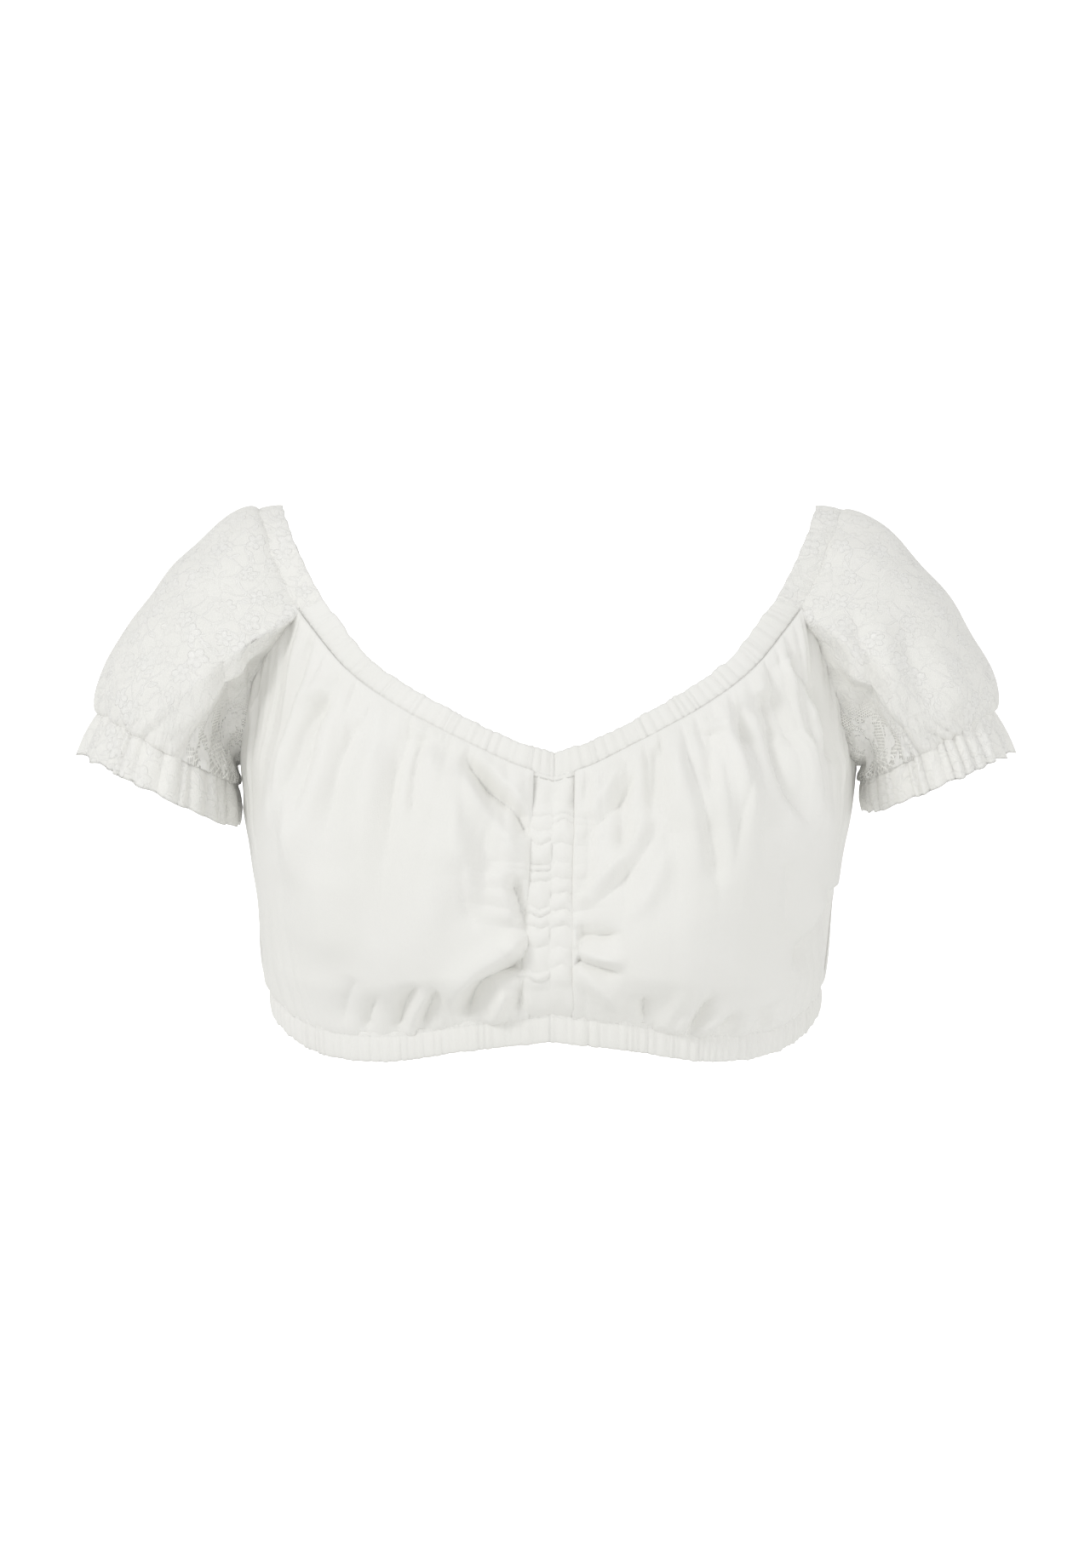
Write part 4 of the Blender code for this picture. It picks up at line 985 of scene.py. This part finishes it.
class BodyPanels:
    """The two fronts, the strip between them and the back."""

    def __init__(self, torso: Torso, neck: NeckLine) -> None:
        self.torso = torso
        self.neck = neck
        self.rows = BODY_ROWS * ROW_STEPS
        self.first_angle = np.degrees(np.arcsin(CHANNEL_HALF_WIDTH / TORSO[0, 2]))
        neck_length = 2 * neck.back_centre
        self.fine = Gathers(neck_length, NECK_FINE_PITCH, 0.5, 1)
        self.middle = Gathers(neck_length, NECK_MIDDLE_PITCH, 0.4, 2)
        self.wide = Gathers(neck_length, NECK_WIDE_PITCH, 0.4, 3)
        self.hem_fine = Gathers(HEM_GATHERS_LENGTH, HEM_FINE_PITCH, 0.5, 4)
        self.hem_wide = Gathers(HEM_GATHERS_LENGTH, HEM_WIDE_PITCH, 0.45, 5)
        self.ruches = {side: Gathers(200.0, RUCHE_PITCH, 0.6, 6 + side) for side in (-1, 1)}

    def gather(self, sheet: Sheet, places: np.ndarray, amount: np.ndarray, seed: int) -> None:
        """Folds that run down from the neck seam and up from the hem seam, and die away.

        Args:
            sheet: The panel.
            places: Place of each column along the neck seam.
            amount: How much each column is gathered at its top, from 0 to 1.
            seed: Which of the uneven fields.
        """
        flat = sheet.sizes() / MM
        along = flat[..., 1]
        from_top = along[-1] - along
        from_hem = along
        level = sheet.grid[..., 2]
        round_neck = places[None, :] + 0 * level
        drift = wander(round_neck, level, 34.0, SEED + seed) * np.minimum(from_top / 30.0, 1.0)
        at = places[None, :] + 2.6 * drift
        lift = 1.7 * self.fine.at(at, 0.7) * np.exp(-from_top / 9.0)
        lift += 4.4 * self.middle.at(at, 1.0) * np.exp(-from_top / 34.0)
        lift += 5.2 * self.wide.at(at, 1.2) * np.exp(-((from_top - 26.0) / 50.0) ** 2)
        lift = lift * amount[None, :]
        round_hem = np.abs(flat[:1, :, 0]) + HEM_GATHERS_START + 0 * level + 2.0 * drift
        lift += 1.0 * self.hem_fine.at(round_hem) * np.exp(-from_hem / 6.0)
        lift += 2.4 * self.hem_wide.at(round_hem, 1.1) * np.exp(-from_hem / 20.0)
        lift += 0.5 * wander(sheet.grid[..., 0], level, 17.0, SEED + seed + 9)
        ridges = np.exp(-np.abs(wander(round_neck, 0.3 * level, 15.0, SEED + seed + 5)) / 0.35)
        lift += 1.1 * ridges * np.exp(-((from_top - 25.0) / 45.0) ** 2)
        sheet.lift += lift

    def settle_edges(self, sheet: Sheet, gathered: np.ndarray) -> None:
        """Brings the cloth to its seams: level with the casings, and down at the other seams.

        Args:
            sheet: The panel.
            gathered: For each column, 1 where its top meets the neck casing and 0 where it doesn't.
        """
        flat = sheet.sizes() / MM
        across, along = flat[..., 0], flat[..., 1]
        near_side = np.minimum(across, across[:, -1:] - across)
        from_hem, from_top = along, along[-1:] - along
        near_end = np.minimum(from_hem, from_top)
        kept = np.where(sheet.lift < 0, smooth_step(near_end / 7.0), 0.7 + 0.3 * smooth_step(near_end / 5.0))
        beside = np.where(sheet.lift < 0, smooth_step(near_side / 5.0), smooth_step(0.7 + near_side / 6.0))
        sheet.lift *= kept * beside
        room = SEAM_RISE + np.minimum(near_end, near_side)
        sheet.lift = np.where(sheet.lift > 0.0, room * np.tanh(sheet.lift / room), sheet.lift)
        flush = np.exp(-(from_hem / 4.0) ** 2) + 1.5 * gathered[None, :] * np.exp(-(from_top / 4.0) ** 2)
        sheet.lift += CASING_FLUSH * flush
        sheet.lift -= 0.2 * np.exp(-(near_side / 0.9) ** 2) * (from_hem > 3.0)
        sheet.tuck += gathered[None, :] * SEAM_TUCK * np.exp(-(from_top / 2.0) ** 2)
        sheet.tuck -= SEAM_TUCK * np.exp(-(from_hem / 2.0) ** 2)

    def front(self, side: Side) -> Sheet:
        """One front panel."""
        sign = side.value
        across = FRONT_NECK_COLUMNS * COLUMN_STEPS
        down = FRONT_RAGLAN_COLUMNS * COLUMN_STEPS
        places = np.linspace(CHANNEL_HALF_WIDTH, self.neck.front_corner, across + 1)
        seam = self.neck.read(sign * places)[1]
        raglan = mirrored(even_points(FRONT_RAGLAN[sign], down), sign)
        top = np.concatenate((seam, raglan[1:]))
        angles = sign * np.linspace(self.first_angle, 90.0, across + down + 1)
        grid = shift_centre(self.torso.panel(angles, top, self.rows))
        sheet = Sheet(grid)
        sheet.face_away(grid * np.array((0.0, 0.0, 1.0)))
        beyond = self.neck.front_corner + lengths_along(raglan)[1:]
        places = sign * np.concatenate((places, beyond))
        amount = 1.0 - 0.65 * smooth_step((np.abs(places) - self.neck.front_corner + 6.0) / 14.0)
        self.gather(sheet, places, amount, 20 + sign)
        for fold in LEFT_FOLDS if side is Side.LEFT else RIGHT_FOLDS:
            sheet.lift += FOLD_STRENGTH * fold.lift(grid[..., (0, 2)])
        self.draw_to_strip(sheet, sign)
        self.settle_edges(sheet, (np.abs(places) <= self.neck.front_corner).astype(float))
        return sheet

    def draw_to_strip(self, sheet: Sheet, sign: int) -> None:
        """Short level creases that the ruched strip draws into the front beside it."""
        away = np.linalg.norm(sheet.grid - sheet.grid[:, :1], axis=-1)
        level = sheet.grid[..., 2]
        ruched = smooth_step((RUCHE_TOP + 10 - level) / 12.0) * smooth_step((level - RUCHE_BOTTOM + 6) / 10.0)
        slope = level + 0.16 * away * np.sin(level / 15.0)
        lift = self.ruches[sign].at(-slope) * np.exp(-away / 9.0) * 2.2
        wide = self.ruches[-sign].at(-slope * 0.45, 1.2) * np.exp(-((away - 10) / 16.0) ** 2) * 1.6
        wide = wide * smooth_step(away / 8.0)
        sheet.lift += (lift + wide) * ruched

    def strip(self, left: Sheet, right: Sheet) -> Sheet:
        """The strip down the centre front: two ruched channels."""
        columns = CHANNEL_COLUMNS * 5
        across = np.linspace(0.0, 1.0, columns + 1)
        first, last = left.grid[:, 0], right.grid[:, 0]
        grid = first[:, None] + (last - first)[:, None] * across[:, None]
        parts = np.linspace(0.0, 1.0, len(grid))
        places = np.linspace(-CHANNEL_HALF_WIDTH, CHANNEL_HALF_WIDTH, columns + 1)
        seam = shift_centre(self.neck.read(places)[1])
        hem = self.torso.hem(self.first_angle * (2 * across - 1), HEM_CASING_WIDTH)
        for edge, ends in ((seam, smooth_step((parts - 0.8) / 0.2)), (hem, smooth_step((0.2 - parts) / 0.2))):
            row = -1 if edge is seam else 0
            grid = grid + (edge - grid[row])[None] * ends[:, None, None]
        sheet = Sheet(grid)
        sheet.face_away(grid * np.array((0.0, 0.0, 1.0)))
        level = grid[..., 2]
        puff = np.abs(np.sin(2 * np.pi * across))[None, :]
        ruched = smooth_step((RUCHE_TOP + 4 - level) / 8.0) * smooth_step((level - RUCHE_BOTTOM + 4) / 8.0)
        fade = smooth_step(np.minimum(parts, 1 - parts) / 0.06)[:, None]
        slope = level + 1.6 * np.sin(np.pi * 2 * across)[None, :]
        slope = slope + 0.9 * puff * wander(level, 40 * across[None, :], 9.0, 5)
        lift = np.where(across[None, :] < 0.5, self.ruches[-1].at(-slope), self.ruches[1].at(-slope))
        plain = 1.0 - ruched
        sheet.lift += (0.5 + 0.8 * puff) * fade * (0.4 + 0.6 * ruched)
        sheet.lift += 2.6 * lift * ruched * (0.5 + 0.5 * puff)
        sheet.lift += CASING_FLUSH * (1.0 - fade)
        height = parts[:, None] * 120.0
        sheet.tuck += SEAM_TUCK * (np.exp(-((120.0 - height) / 2.0) ** 2) - np.exp(-(height / 2.0) ** 2))
        sheet.lift += 0.9 * plain * fade * wander(20 * across[None, :] + 0 * level, level * 0.3, 5.0, 8)
        return sheet.with_flaps()

    def back(self) -> Sheet:
        """The back panel."""
        down = BACK_RAGLAN_COLUMNS * COLUMN_STEPS
        round_back = BACK_NECK_COLUMNS * COLUMN_STEPS
        right = even_points(BACK_RAGLAN, down)[::-1]
        left = mirrored(right, -1.0)[::-1]
        half = np.linspace(self.neck.back_corner, self.neck.back_centre, round_back // 2 + 1)
        places = np.concatenate((half, 2 * self.neck.back_centre - half[-2::-1]))
        centre = self.neck.back_centre
        seam = self.neck.read(np.where(places > centre, places - 2 * centre, places))[1]
        top = np.concatenate((right[:-1], seam, left[1:]))
        columns = round_back + 2 * down
        grid = shift_centre(self.torso.panel(np.linspace(90.0, 270.0, columns + 1), top, self.rows))
        sheet = Sheet(grid)
        sheet.face_away(grid * np.array((0.0, 0.0, 1.0)))
        before = self.neck.back_corner - lengths_along(right)[::-1]
        after = places[-1] + lengths_along(left)
        places = np.concatenate((before[:-1], places, after[1:]))
        outside = np.abs(places - self.neck.back_centre) - (self.neck.back_centre - self.neck.back_corner)
        amount = 1.0 - 0.65 * smooth_step((outside + 6.0) / 14.0)
        self.gather(sheet, places, amount, 40)
        sheet.lift += 1.6 * wander(places[None, :] + 0 * grid[..., 2], 0.25 * grid[..., 2], 22.0, 77)
        self.settle_edges(sheet, (outside <= 0.0).astype(float))
        return sheet


class Sleeves:
    """The raglan sleeves and their cuffs."""

    def __init__(self, neck: NeckLine) -> None:
        self.neck = neck

    def cuff_ring(self, side: Side, row: int, turns: np.ndarray) -> np.ndarray:
        """Points round one ring of a sleeve's mouth."""
        outer_x, outer_z, inner_x, inner_z, half_depth = CUFFS[side.value][row]
        middle = np.array((outer_x + inner_x, 0.0, outer_z + inner_z)) / 2
        half = np.array((inner_x - outer_x, 0.0, inner_z - outer_z)) / 2
        angles = 2 * np.pi * turns[:, None]
        ring = middle + half * np.cos(angles) - np.array((0.0, half_depth, 0.0)) * np.sin(angles)
        return mirrored(ring, side.value)

    def mouth_gathers(self, side: Side) -> Gathers:
        """Gathers round a sleeve's mouth, over one turn."""
        return Gathers(1.0, 1 / MOUTH_GATHERS, 0.55, 50 + side.value)

    def armhole(self, side: Side) -> np.ndarray:
        """The sleeve's upper edge."""
        sign = side.value
        front = mirrored(even_points(FRONT_RAGLAN[sign], FRONT_RAGLAN_COLUMNS * COLUMN_STEPS), sign)[::-1]
        back = mirrored(even_points(BACK_RAGLAN, BACK_RAGLAN_COLUMNS * COLUMN_STEPS), sign)
        over = self.neck.between(sign * self.neck.front_corner, sign * self.neck.back_corner,
                                 SLEEVE_NECK_COLUMNS * COLUMN_STEPS)
        return shift_centre(np.concatenate((front[:-1], over, back[1:-1])))

    def sleeve(self, side: Side) -> Sheet:
        """One puffed sleeve."""
        loop = self.armhole(side)
        turns = np.arange(len(loop)) / len(loop)
        mouth = self.cuff_ring(side, 0, turns)
        heights = curve_through(SLEEVE_PUFF[:, 1:], SLEEVE_PUFF[:, 0], turns)
        chord = unit(mouth - loop)
        loop_middle, mouth_middle = loop.mean(axis=0), mouth.mean(axis=0)
        roundness = (0.5 - 0.5 * np.cos(2 * np.pi * turns[:, None])) ** 2
        away = np.clip(UNDERARM_REACH * np.cos(2 * np.pi * turns), 0.0, 1.0)[:, None]
        rows = []
        for part in np.linspace(0.0, 1.0, SLEEVE_ROWS * ROW_STEPS + 1):
            place = part + ((1 - np.cos(np.pi * part)) / 2 - part) * roundness
            straight = loop + (mouth - loop) * place
            out = straight - (loop_middle + (mouth_middle - loop_middle) * place)
            out = unit(out - np.sum(out * chord, axis=1, keepdims=True) * chord)
            out = unit(out + away * (np.array((side.value, 0.0, UNDERARM_LIFT)) - out))
            rows.append(straight + out * heights * np.sin(np.pi * part))
        sheet = Sheet(np.array(rows), wrap=True)
        sheet.face_away(sheet.grid.mean(axis=1, keepdims=True))
        self.fold(sheet, side, turns)
        return sheet

    def fold(self, sheet: Sheet, side: Side, turns: np.ndarray) -> None:
        """Gathers above the cuff and below the shoulder, and the folds that the photo shows."""
        along = lengths_along(sheet.grid)
        to_mouth, from_top = along[-1] - along, along
        fine = self.mouth_gathers(side)
        wide = Gathers(1.0, 1 / WIDE_SLEEVE_GATHERS, 0.4, 60 + side.value)
        drift = wander(300 * turns[None, :] + 0 * along, along, 30.0, SEED + side.value) * 0.006
        at = turns[None, :] + drift
        lift = 3.0 * fine.at(turns[None, :] + drift * smooth_step(to_mouth / 10.0)) * np.exp(-to_mouth / 14.0)
        lift += 2.4 * wide.at(at, 1.2) * np.exp(-to_mouth / 34.0)
        lift += 1.0 * fine.at(at) * np.exp(-from_top / 6.0)
        lift += 1.6 * wide.at(at + 0.01, 1.2) * np.exp(-from_top / 24.0)
        lift += 0.5 * wander(sheet.grid[..., 0], sheet.grid[..., 2], 16.0, SEED + 7)
        in_front = smooth_step(-sheet.grid[..., 1] / 12.0 + 0.5)
        for fold in SLEEVE_FOLDS[side.value]:
            lift += SLEEVE_FOLD_STRENGTH * fold.lift(sheet.grid[..., (0, 2)]) * in_front
        hold = smooth_step(0.5 + to_mouth / 6.0) * smooth_step(0.5 + from_top / 6.0)
        sheet.lift += lift * hold + CASING_FLUSH * np.exp(-(to_mouth / 3.0) ** 2)
        first, last = FRONT_RAGLAN_COLUMNS, FRONT_RAGLAN_COLUMNS + SLEEVE_NECK_COLUMNS
        under_casing = (turns > first / ARMHOLE_COLUMNS) & (turns < last / ARMHOLE_COLUMNS)
        sheet.tuck += SEAM_TUCK * np.exp(-(to_mouth / 2.0) ** 2)
        sheet.tuck -= SEAM_TUCK * np.exp(-(from_top / 2.0) ** 2) * (0.3 + 0.7 * under_casing[None, :])


@dataclass
class Casing:
    """A gathered band round an opening.

    Attributes:
        low: Points of its seam.
        high: Points of its free edge.
        out: Direction out at each of them.
        places: Distance of each along the seam.
        wall: Its thickness.
        gather: Height of the gathers at each.
        frill: How far its free edge waves.
        pinch: How far it is drawn in where it is tightest.
        pinch_at: Where it is tightest, from 0 at its seam to 1 at its free edge.
        pinch_reach: How far from there it is still drawn in.
    """

    low: np.ndarray
    high: np.ndarray
    out: np.ndarray
    places: np.ndarray
    wall: float
    gather: np.ndarray
    frill: float = 0.0
    pinch: float = 0.0
    pinch_at: float = 0.5
    pinch_reach: float = 0.2

    def drawn(self, height: float) -> float:
        """How far the band is drawn in at a height."""
        return self.pinch * math.exp(-((height - self.pinch_at) / self.pinch_reach) ** 2)

    def profile(self) -> tuple[np.ndarray, np.ndarray]:
        """Points of the band, level by level round its section, and their flat coordinates."""
        tangent = unit(np.roll(self.low, -1, axis=0) - np.roll(self.low, 1, axis=0))
        rise = unit(self.high - self.low)
        out = np.cross(tangent, rise)
        out = unit(out * np.sign(np.sum(out * self.out, axis=1, keepdims=True)))
        wave = wander(self.places, 0 * self.places, 5.5, SEED + 3)[:, None]
        levels = [(-0.1, 0.3), (-0.02, 0.75), (0.08, 0.65), (0.2, 1.0), (0.38, 1.15), (0.6, 1.2), (0.8, 1.05),
                  (0.93, 0.8), (1.0, 0.35)]
        half = self.wall / 2
        lift = self.gather[:, None]
        rows, flats = [], []
        for height, swell in levels:
            held = 1.0 - np.exp(-((height - 0.07) / 0.07) ** 2) * 0.3
            middle = self.low + (self.high - self.low) * height
            outward = half * swell + lift * held * (0.8 + 0.2 * math.sin(math.pi * max(height, 0.0)))
            outward = outward - self.drawn(height)
            edge = rise * (0.35 * lift * height + self.frill * wave * height ** 3)
            rows.append(middle + out * (outward + self.frill * wave * height ** 2) + edge)
            flats.append(height)
        for height, depth in ((0.97, -0.5), (0.5, -1.0), (0.03, -0.9)):
            middle = self.low + (self.high - self.low) * height
            inward = half * depth - self.drawn(height) + 0.25 * lift
            swayed = middle + out * (inward + self.frill * wave * height ** 2)
            rows.append(swayed + rise * self.frill * wave * height ** 3)
            flats.append(height)
        width = float(np.linalg.norm(self.high - self.low, axis=1).mean())
        across = np.broadcast_to(self.places, (len(rows), len(self.places)))
        along = np.broadcast_to(np.array(flats)[:, None] * width, across.shape)
        return np.array(rows), np.stack((across, along), axis=-1) * MM


class Bands:
    """The casings at the neck, the hem and the sleeves' mouths."""

    def __init__(self, torso: Torso, neck: NeckLine, sleeves: Sleeves) -> None:
        self.torso = torso
        self.neck = neck
        self.sleeves = sleeves

    def amount(self, place: np.ndarray) -> np.ndarray:
        """How much the neck is gathered at places from the front centre."""
        corner, back = self.neck.front_corner, self.neck.back_corner
        knots = [
            -back - 20, -back, -corner - 12, -corner, -corner * 0.72, -60,
            0, 60, corner, corner + 12, back, back + 20,
        ]
        heights = [1.0, 0.5, 0.3, 0.5, 0.55, 0.9, 1.0, 1.0, 0.8, 0.35, 0.5, 1.0]
        return np.interp(place, knots, heights)

    def neck_casing(self, gathers: Gathers) -> tuple[np.ndarray, np.ndarray, np.ndarray]:
        """Profile, flat coordinates and places of the neck casing."""
        total = 2 * self.neck.back_centre
        places = np.linspace(-total / 2, total / 2, int(total / CASING_STEP), endpoint=False)
        high, low = self.neck.read(places)
        low = shift_centre(low)
        out = low * np.array((1.0, 1.0, 0.0)) + np.array((0.0, 0.0, 40.0))
        gather = 1.6 * gathers.at(places, 0.7) * self.amount(places)
        casing = Casing(low, high, out, places, CASING_WALL, gather, 0.25)
        profile, flat = casing.profile()
        return profile, flat, places

    def hem_casing(self, gathers: Gathers) -> tuple[np.ndarray, np.ndarray]:
        """Profile and flat coordinates of the hem casing."""
        angles = np.linspace(0.0, 360.0, int(HEM_LENGTH / CASING_STEP), endpoint=False)
        low = self.torso.hem(angles, HEM_CASING_WIDTH)
        high = self.torso.hem(angles, 0.0)
        places = lengths_along(np.concatenate((low, low[:1])))[:-1]
        gather = 1.5 * gathers.at(places + HEM_GATHERS_START, 0.7)
        casing = Casing(low, high, low * np.array((1.0, 1.0, 0.0)), places, CASING_WALL, gather, 0.15)
        return casing.profile()

    def cuff(self, side: Side) -> tuple[np.ndarray, np.ndarray]:
        """Profile and flat coordinates of one cuff."""
        count = int(CUFF_LENGTH / CASING_STEP)
        turns = np.arange(count) / count
        low = self.sleeves.cuff_ring(side, 0, turns)
        high = self.sleeves.cuff_ring(side, 1, turns)
        places = lengths_along(np.concatenate((low, low[:1])))[:-1]
        gather = 3.8 * self.sleeves.mouth_gathers(side).at(turns)
        inner_end = np.minimum(turns, 1.0 - turns) / 0.05
        high[:, 2] += 5.0 * np.exp(-inner_end ** 2)
        out = low - low.mean(axis=0)
        return Casing(low, high, out, places, 0.9, gather, 0.7, 0.8, 0.22).profile()


class Stitches:
    """Short threads along a line."""

    def __init__(self, model: Model, material: bpy.types.Material) -> None:
        self.model = model
        self.material = material

    def along(self, name: str, line: np.ndarray, out: np.ndarray) -> bpy.types.Object:
        """Adds one row of stitches.

        Args:
            name: Name of the piece.
            line: Closed line that they follow.
            out: Direction out at each point of it.

        Returns:
            The new object.
        """
        closed = np.concatenate((line, line[:1]))
        places = lengths_along(closed)
        starts = np.arange(0.0, places[-1] - STITCH_LENGTH, STITCH_LENGTH + STITCH_GAP)
        ring = np.array([(1.0, 0.0), (0.0, 1.0), (-1.0, 0.0), (0.0, -0.6)])
        points, faces = [], []
        closed_out = np.concatenate((out, out[:1]))
        for start in starts:
            at = start + STITCH_LENGTH * np.array((0.0, 0.5, 1.0))
            middle = np.stack([np.interp(at, places, closed[:, axis]) for axis in range(3)], axis=-1)
            up = unit(np.stack([np.interp(at, places, closed_out[:, axis]) for axis in range(3)], axis=-1))
            beside = unit(np.cross(np.broadcast_to(middle[2] - middle[0], up.shape), up))
            base = len(points)
            for number, size in enumerate((0.45, 1.0, 0.45)):
                for first, second in ring:
                    corner = first * beside[number] + (second + 0.2) * up[number]
                    points.append(middle[number] + THREAD_THICKNESS * size * corner)
            for level in range(2):
                for corner in range(4):
                    a, b = base + level * 4 + corner, base + level * 4 + (corner + 1) % 4
                    faces.append((a, b, b + 4, a + 4))
            faces.append((base + 3, base + 2, base + 1, base))
            faces.append((base + 8, base + 9, base + 10, base + 11))
        return self.model.mesh(name, np.array(points), np.array(faces), None, [self.material])


@dataclass(frozen=True)
class Lamp:
    """A soft lamp.

    Attributes:
        name: Name of the lamp.
        place: Where it is, in metres.
        size: Width of its square.
        power: Power in watts.
    """

    name: str
    place: tuple[float, float, float]
    size: float
    power: float


class Studio:
    """Floor, white background, lamps and camera."""

    TARGET = Vector((0.0, 0.0, -0.15))
    LAMPS = (
        Lamp("key", (-1.9, -1.8, 1.2), 0.7, 19.0),
        Lamp("fill", (2.3, -1.6, 0.2), 1.2, 9.0),
        Lamp("low", (0.0, -1.6, -1.6), 1.2, 8.0),
    )
    WORLD_STRENGTH = 0.73
    FLOOR_LEVEL = -0.72
    BACKDROP_DISTANCE = 0.75
    CAMERA_PLACE = (-0.0023, -2.4, -0.1504)
    LENS = 101.97
    SENSOR_HEIGHT = 36.0

    def world(self) -> None:
        """A plain white world."""
        world = bpy.data.worlds.new("studio")
        bpy.context.scene.world = world
        world.use_nodes = True
        background = world.node_tree.nodes["Background"]
        background.inputs["Color"].default_value = (1.0, 1.0, 0.99, 1.0)
        background.inputs["Strength"].default_value = self.WORLD_STRENGTH

    def plane(self, name: str, corners: Sequence[tuple[float, float, float]],
              material: bpy.types.Material) -> bpy.types.Object:
        """A flat stage piece."""
        mesh = bpy.data.meshes.new(name)
        mesh.from_pydata(corners, [], [(0, 1, 2, 3)])
        mesh.materials.append(material)
        made = bpy.data.objects.new(name, mesh)
        bpy.context.collection.objects.link(made)
        return made

    def build(self) -> None:
        """Builds the studio."""
        self.world()
        floor = make_plain("floor", (0.92, 0.92, 0.91), 0.9)
        level = self.FLOOR_LEVEL
        corners = ((-0.9, -0.9, level), (0.9, -0.9, level), (0.9, 0.6, level), (-0.9, 0.6, level))
        self.plane("floor", corners, floor)
        white = Finish("background", (1.0, 1.0, 1.0), 1.0)
        white.shader.inputs["Emission Color"].default_value = (1.0, 1.0, 1.0, 1.0)
        white.shader.inputs["Emission Strength"].default_value = 1.0
        white.show_front_only()
        far = self.BACKDROP_DISTANCE
        corners = ((-1.1, far, -1.2), (1.1, far, -1.2), (1.1, far, 0.9), (-1.1, far, 0.9))
        backdrop = self.plane("background", corners, white.material)
        backdrop.visible_diffuse = False
        backdrop.visible_glossy = False
        for lamp in self.LAMPS:
            light = bpy.data.lights.new(lamp.name, "AREA")
            light.size = lamp.size
            light.energy = lamp.power
            made = bpy.data.objects.new(lamp.name, light)
            made.location = lamp.place
            made.rotation_euler = (self.TARGET - Vector(lamp.place)).to_track_quat("-Z", "Y").to_euler()
            bpy.context.collection.objects.link(made)
        self.camera()
        view = bpy.context.scene.view_settings
        view.view_transform = "Standard"
        view.look = "None"

    def camera(self) -> None:
        """The photo's own view."""
        data = bpy.data.cameras.new("camera")
        data.sensor_fit = "VERTICAL"
        data.sensor_height = self.SENSOR_HEIGHT
        data.lens = self.LENS
        made = bpy.data.objects.new("camera", data)
        made.location = self.CAMERA_PLACE
        made.rotation_euler = (math.pi / 2, 0.0, 0.0)
        bpy.context.collection.objects.link(made)
        bpy.context.scene.camera = made


class Blouse:
    """The whole blouse."""

    def __init__(self, materials: Materials) -> None:
        self.materials = materials
        self.model = Model()
        self.torso = Torso()
        self.neck = NeckLine()
        self.body = BodyPanels(self.torso, self.neck)
        self.sleeves = Sleeves(self.neck)
        self.bands = Bands(self.torso, self.neck, self.sleeves)

    def declare(self, node: str) -> None:
        """Hides the imported CAD part of this node."""
        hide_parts(node)

    def build(self) -> None:
        """Builds every piece."""
        cotton, lace = self.materials.cotton, self.materials.lace
        profile, flat, places = self.bands.neck_casing(self.body.fine)
        beyond = (np.abs(places) > self.neck.front_corner) & (np.abs(places) < self.neck.back_corner)
        neck_casing = self.model.band("casing_neck", profile, flat, [cotton, self.materials.folded_lace],
                                      lambda columns: beyond[columns].astype(int))
        stitches = Stitches(self.model, self.materials.thread)
        neck_stitches = stitches.along("stitches_neck", profile[2], profile[2] - profile[-1])
        self.declare("neck_casing")
        left, right = self.body.front(Side.LEFT), self.body.front(Side.RIGHT)
        strip = self.body.strip(left, right)
        for name, sheet, node, flat_size, area in (
            ("panel_front_left", left, "front_left", FRONT_FLAT, FRONT_AREA),
            ("panel_front_right", right, "front_right", FRONT_FLAT, FRONT_AREA),
            ("strip_centre", strip, "centre_casing", STRIP_FLAT, None),
            ("panel_back", self.body.back(), "back", BACK_FLAT, BACK_AREA),
        ):
            piece = self.model.shell(name, sheet, COTTON_WALL, cotton)
            self.declare(node)
        profile, flat = self.bands.hem_casing(self.body.hem_fine)
        hem = self.model.band("casing_hem", profile, flat, [cotton])
        hem_stitches = stitches.along("stitches_hem", profile[2], profile[2] - profile[-1])
        self.declare("hem_casing")
        for side, name in ((Side.LEFT, "left"), (Side.RIGHT, "right")):
            piece = self.model.shell(f"puff_sleeve_{name}", self.sleeves.sleeve(side), LACE_WALL, lace)
            self.declare(f"sleeve_{name}")
            profile, flat = self.bands.cuff(side)
            cuff = self.model.band(f"casing_cuff_{name}", profile, flat, [self.materials.folded_lace])
            self.declare(f"cuff_{name}")


def main() -> None:
    """Builds the scene."""
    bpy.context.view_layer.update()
    Studio().build()
    Blouse(Materials()).build()


if __name__ == "__main__":
    main()
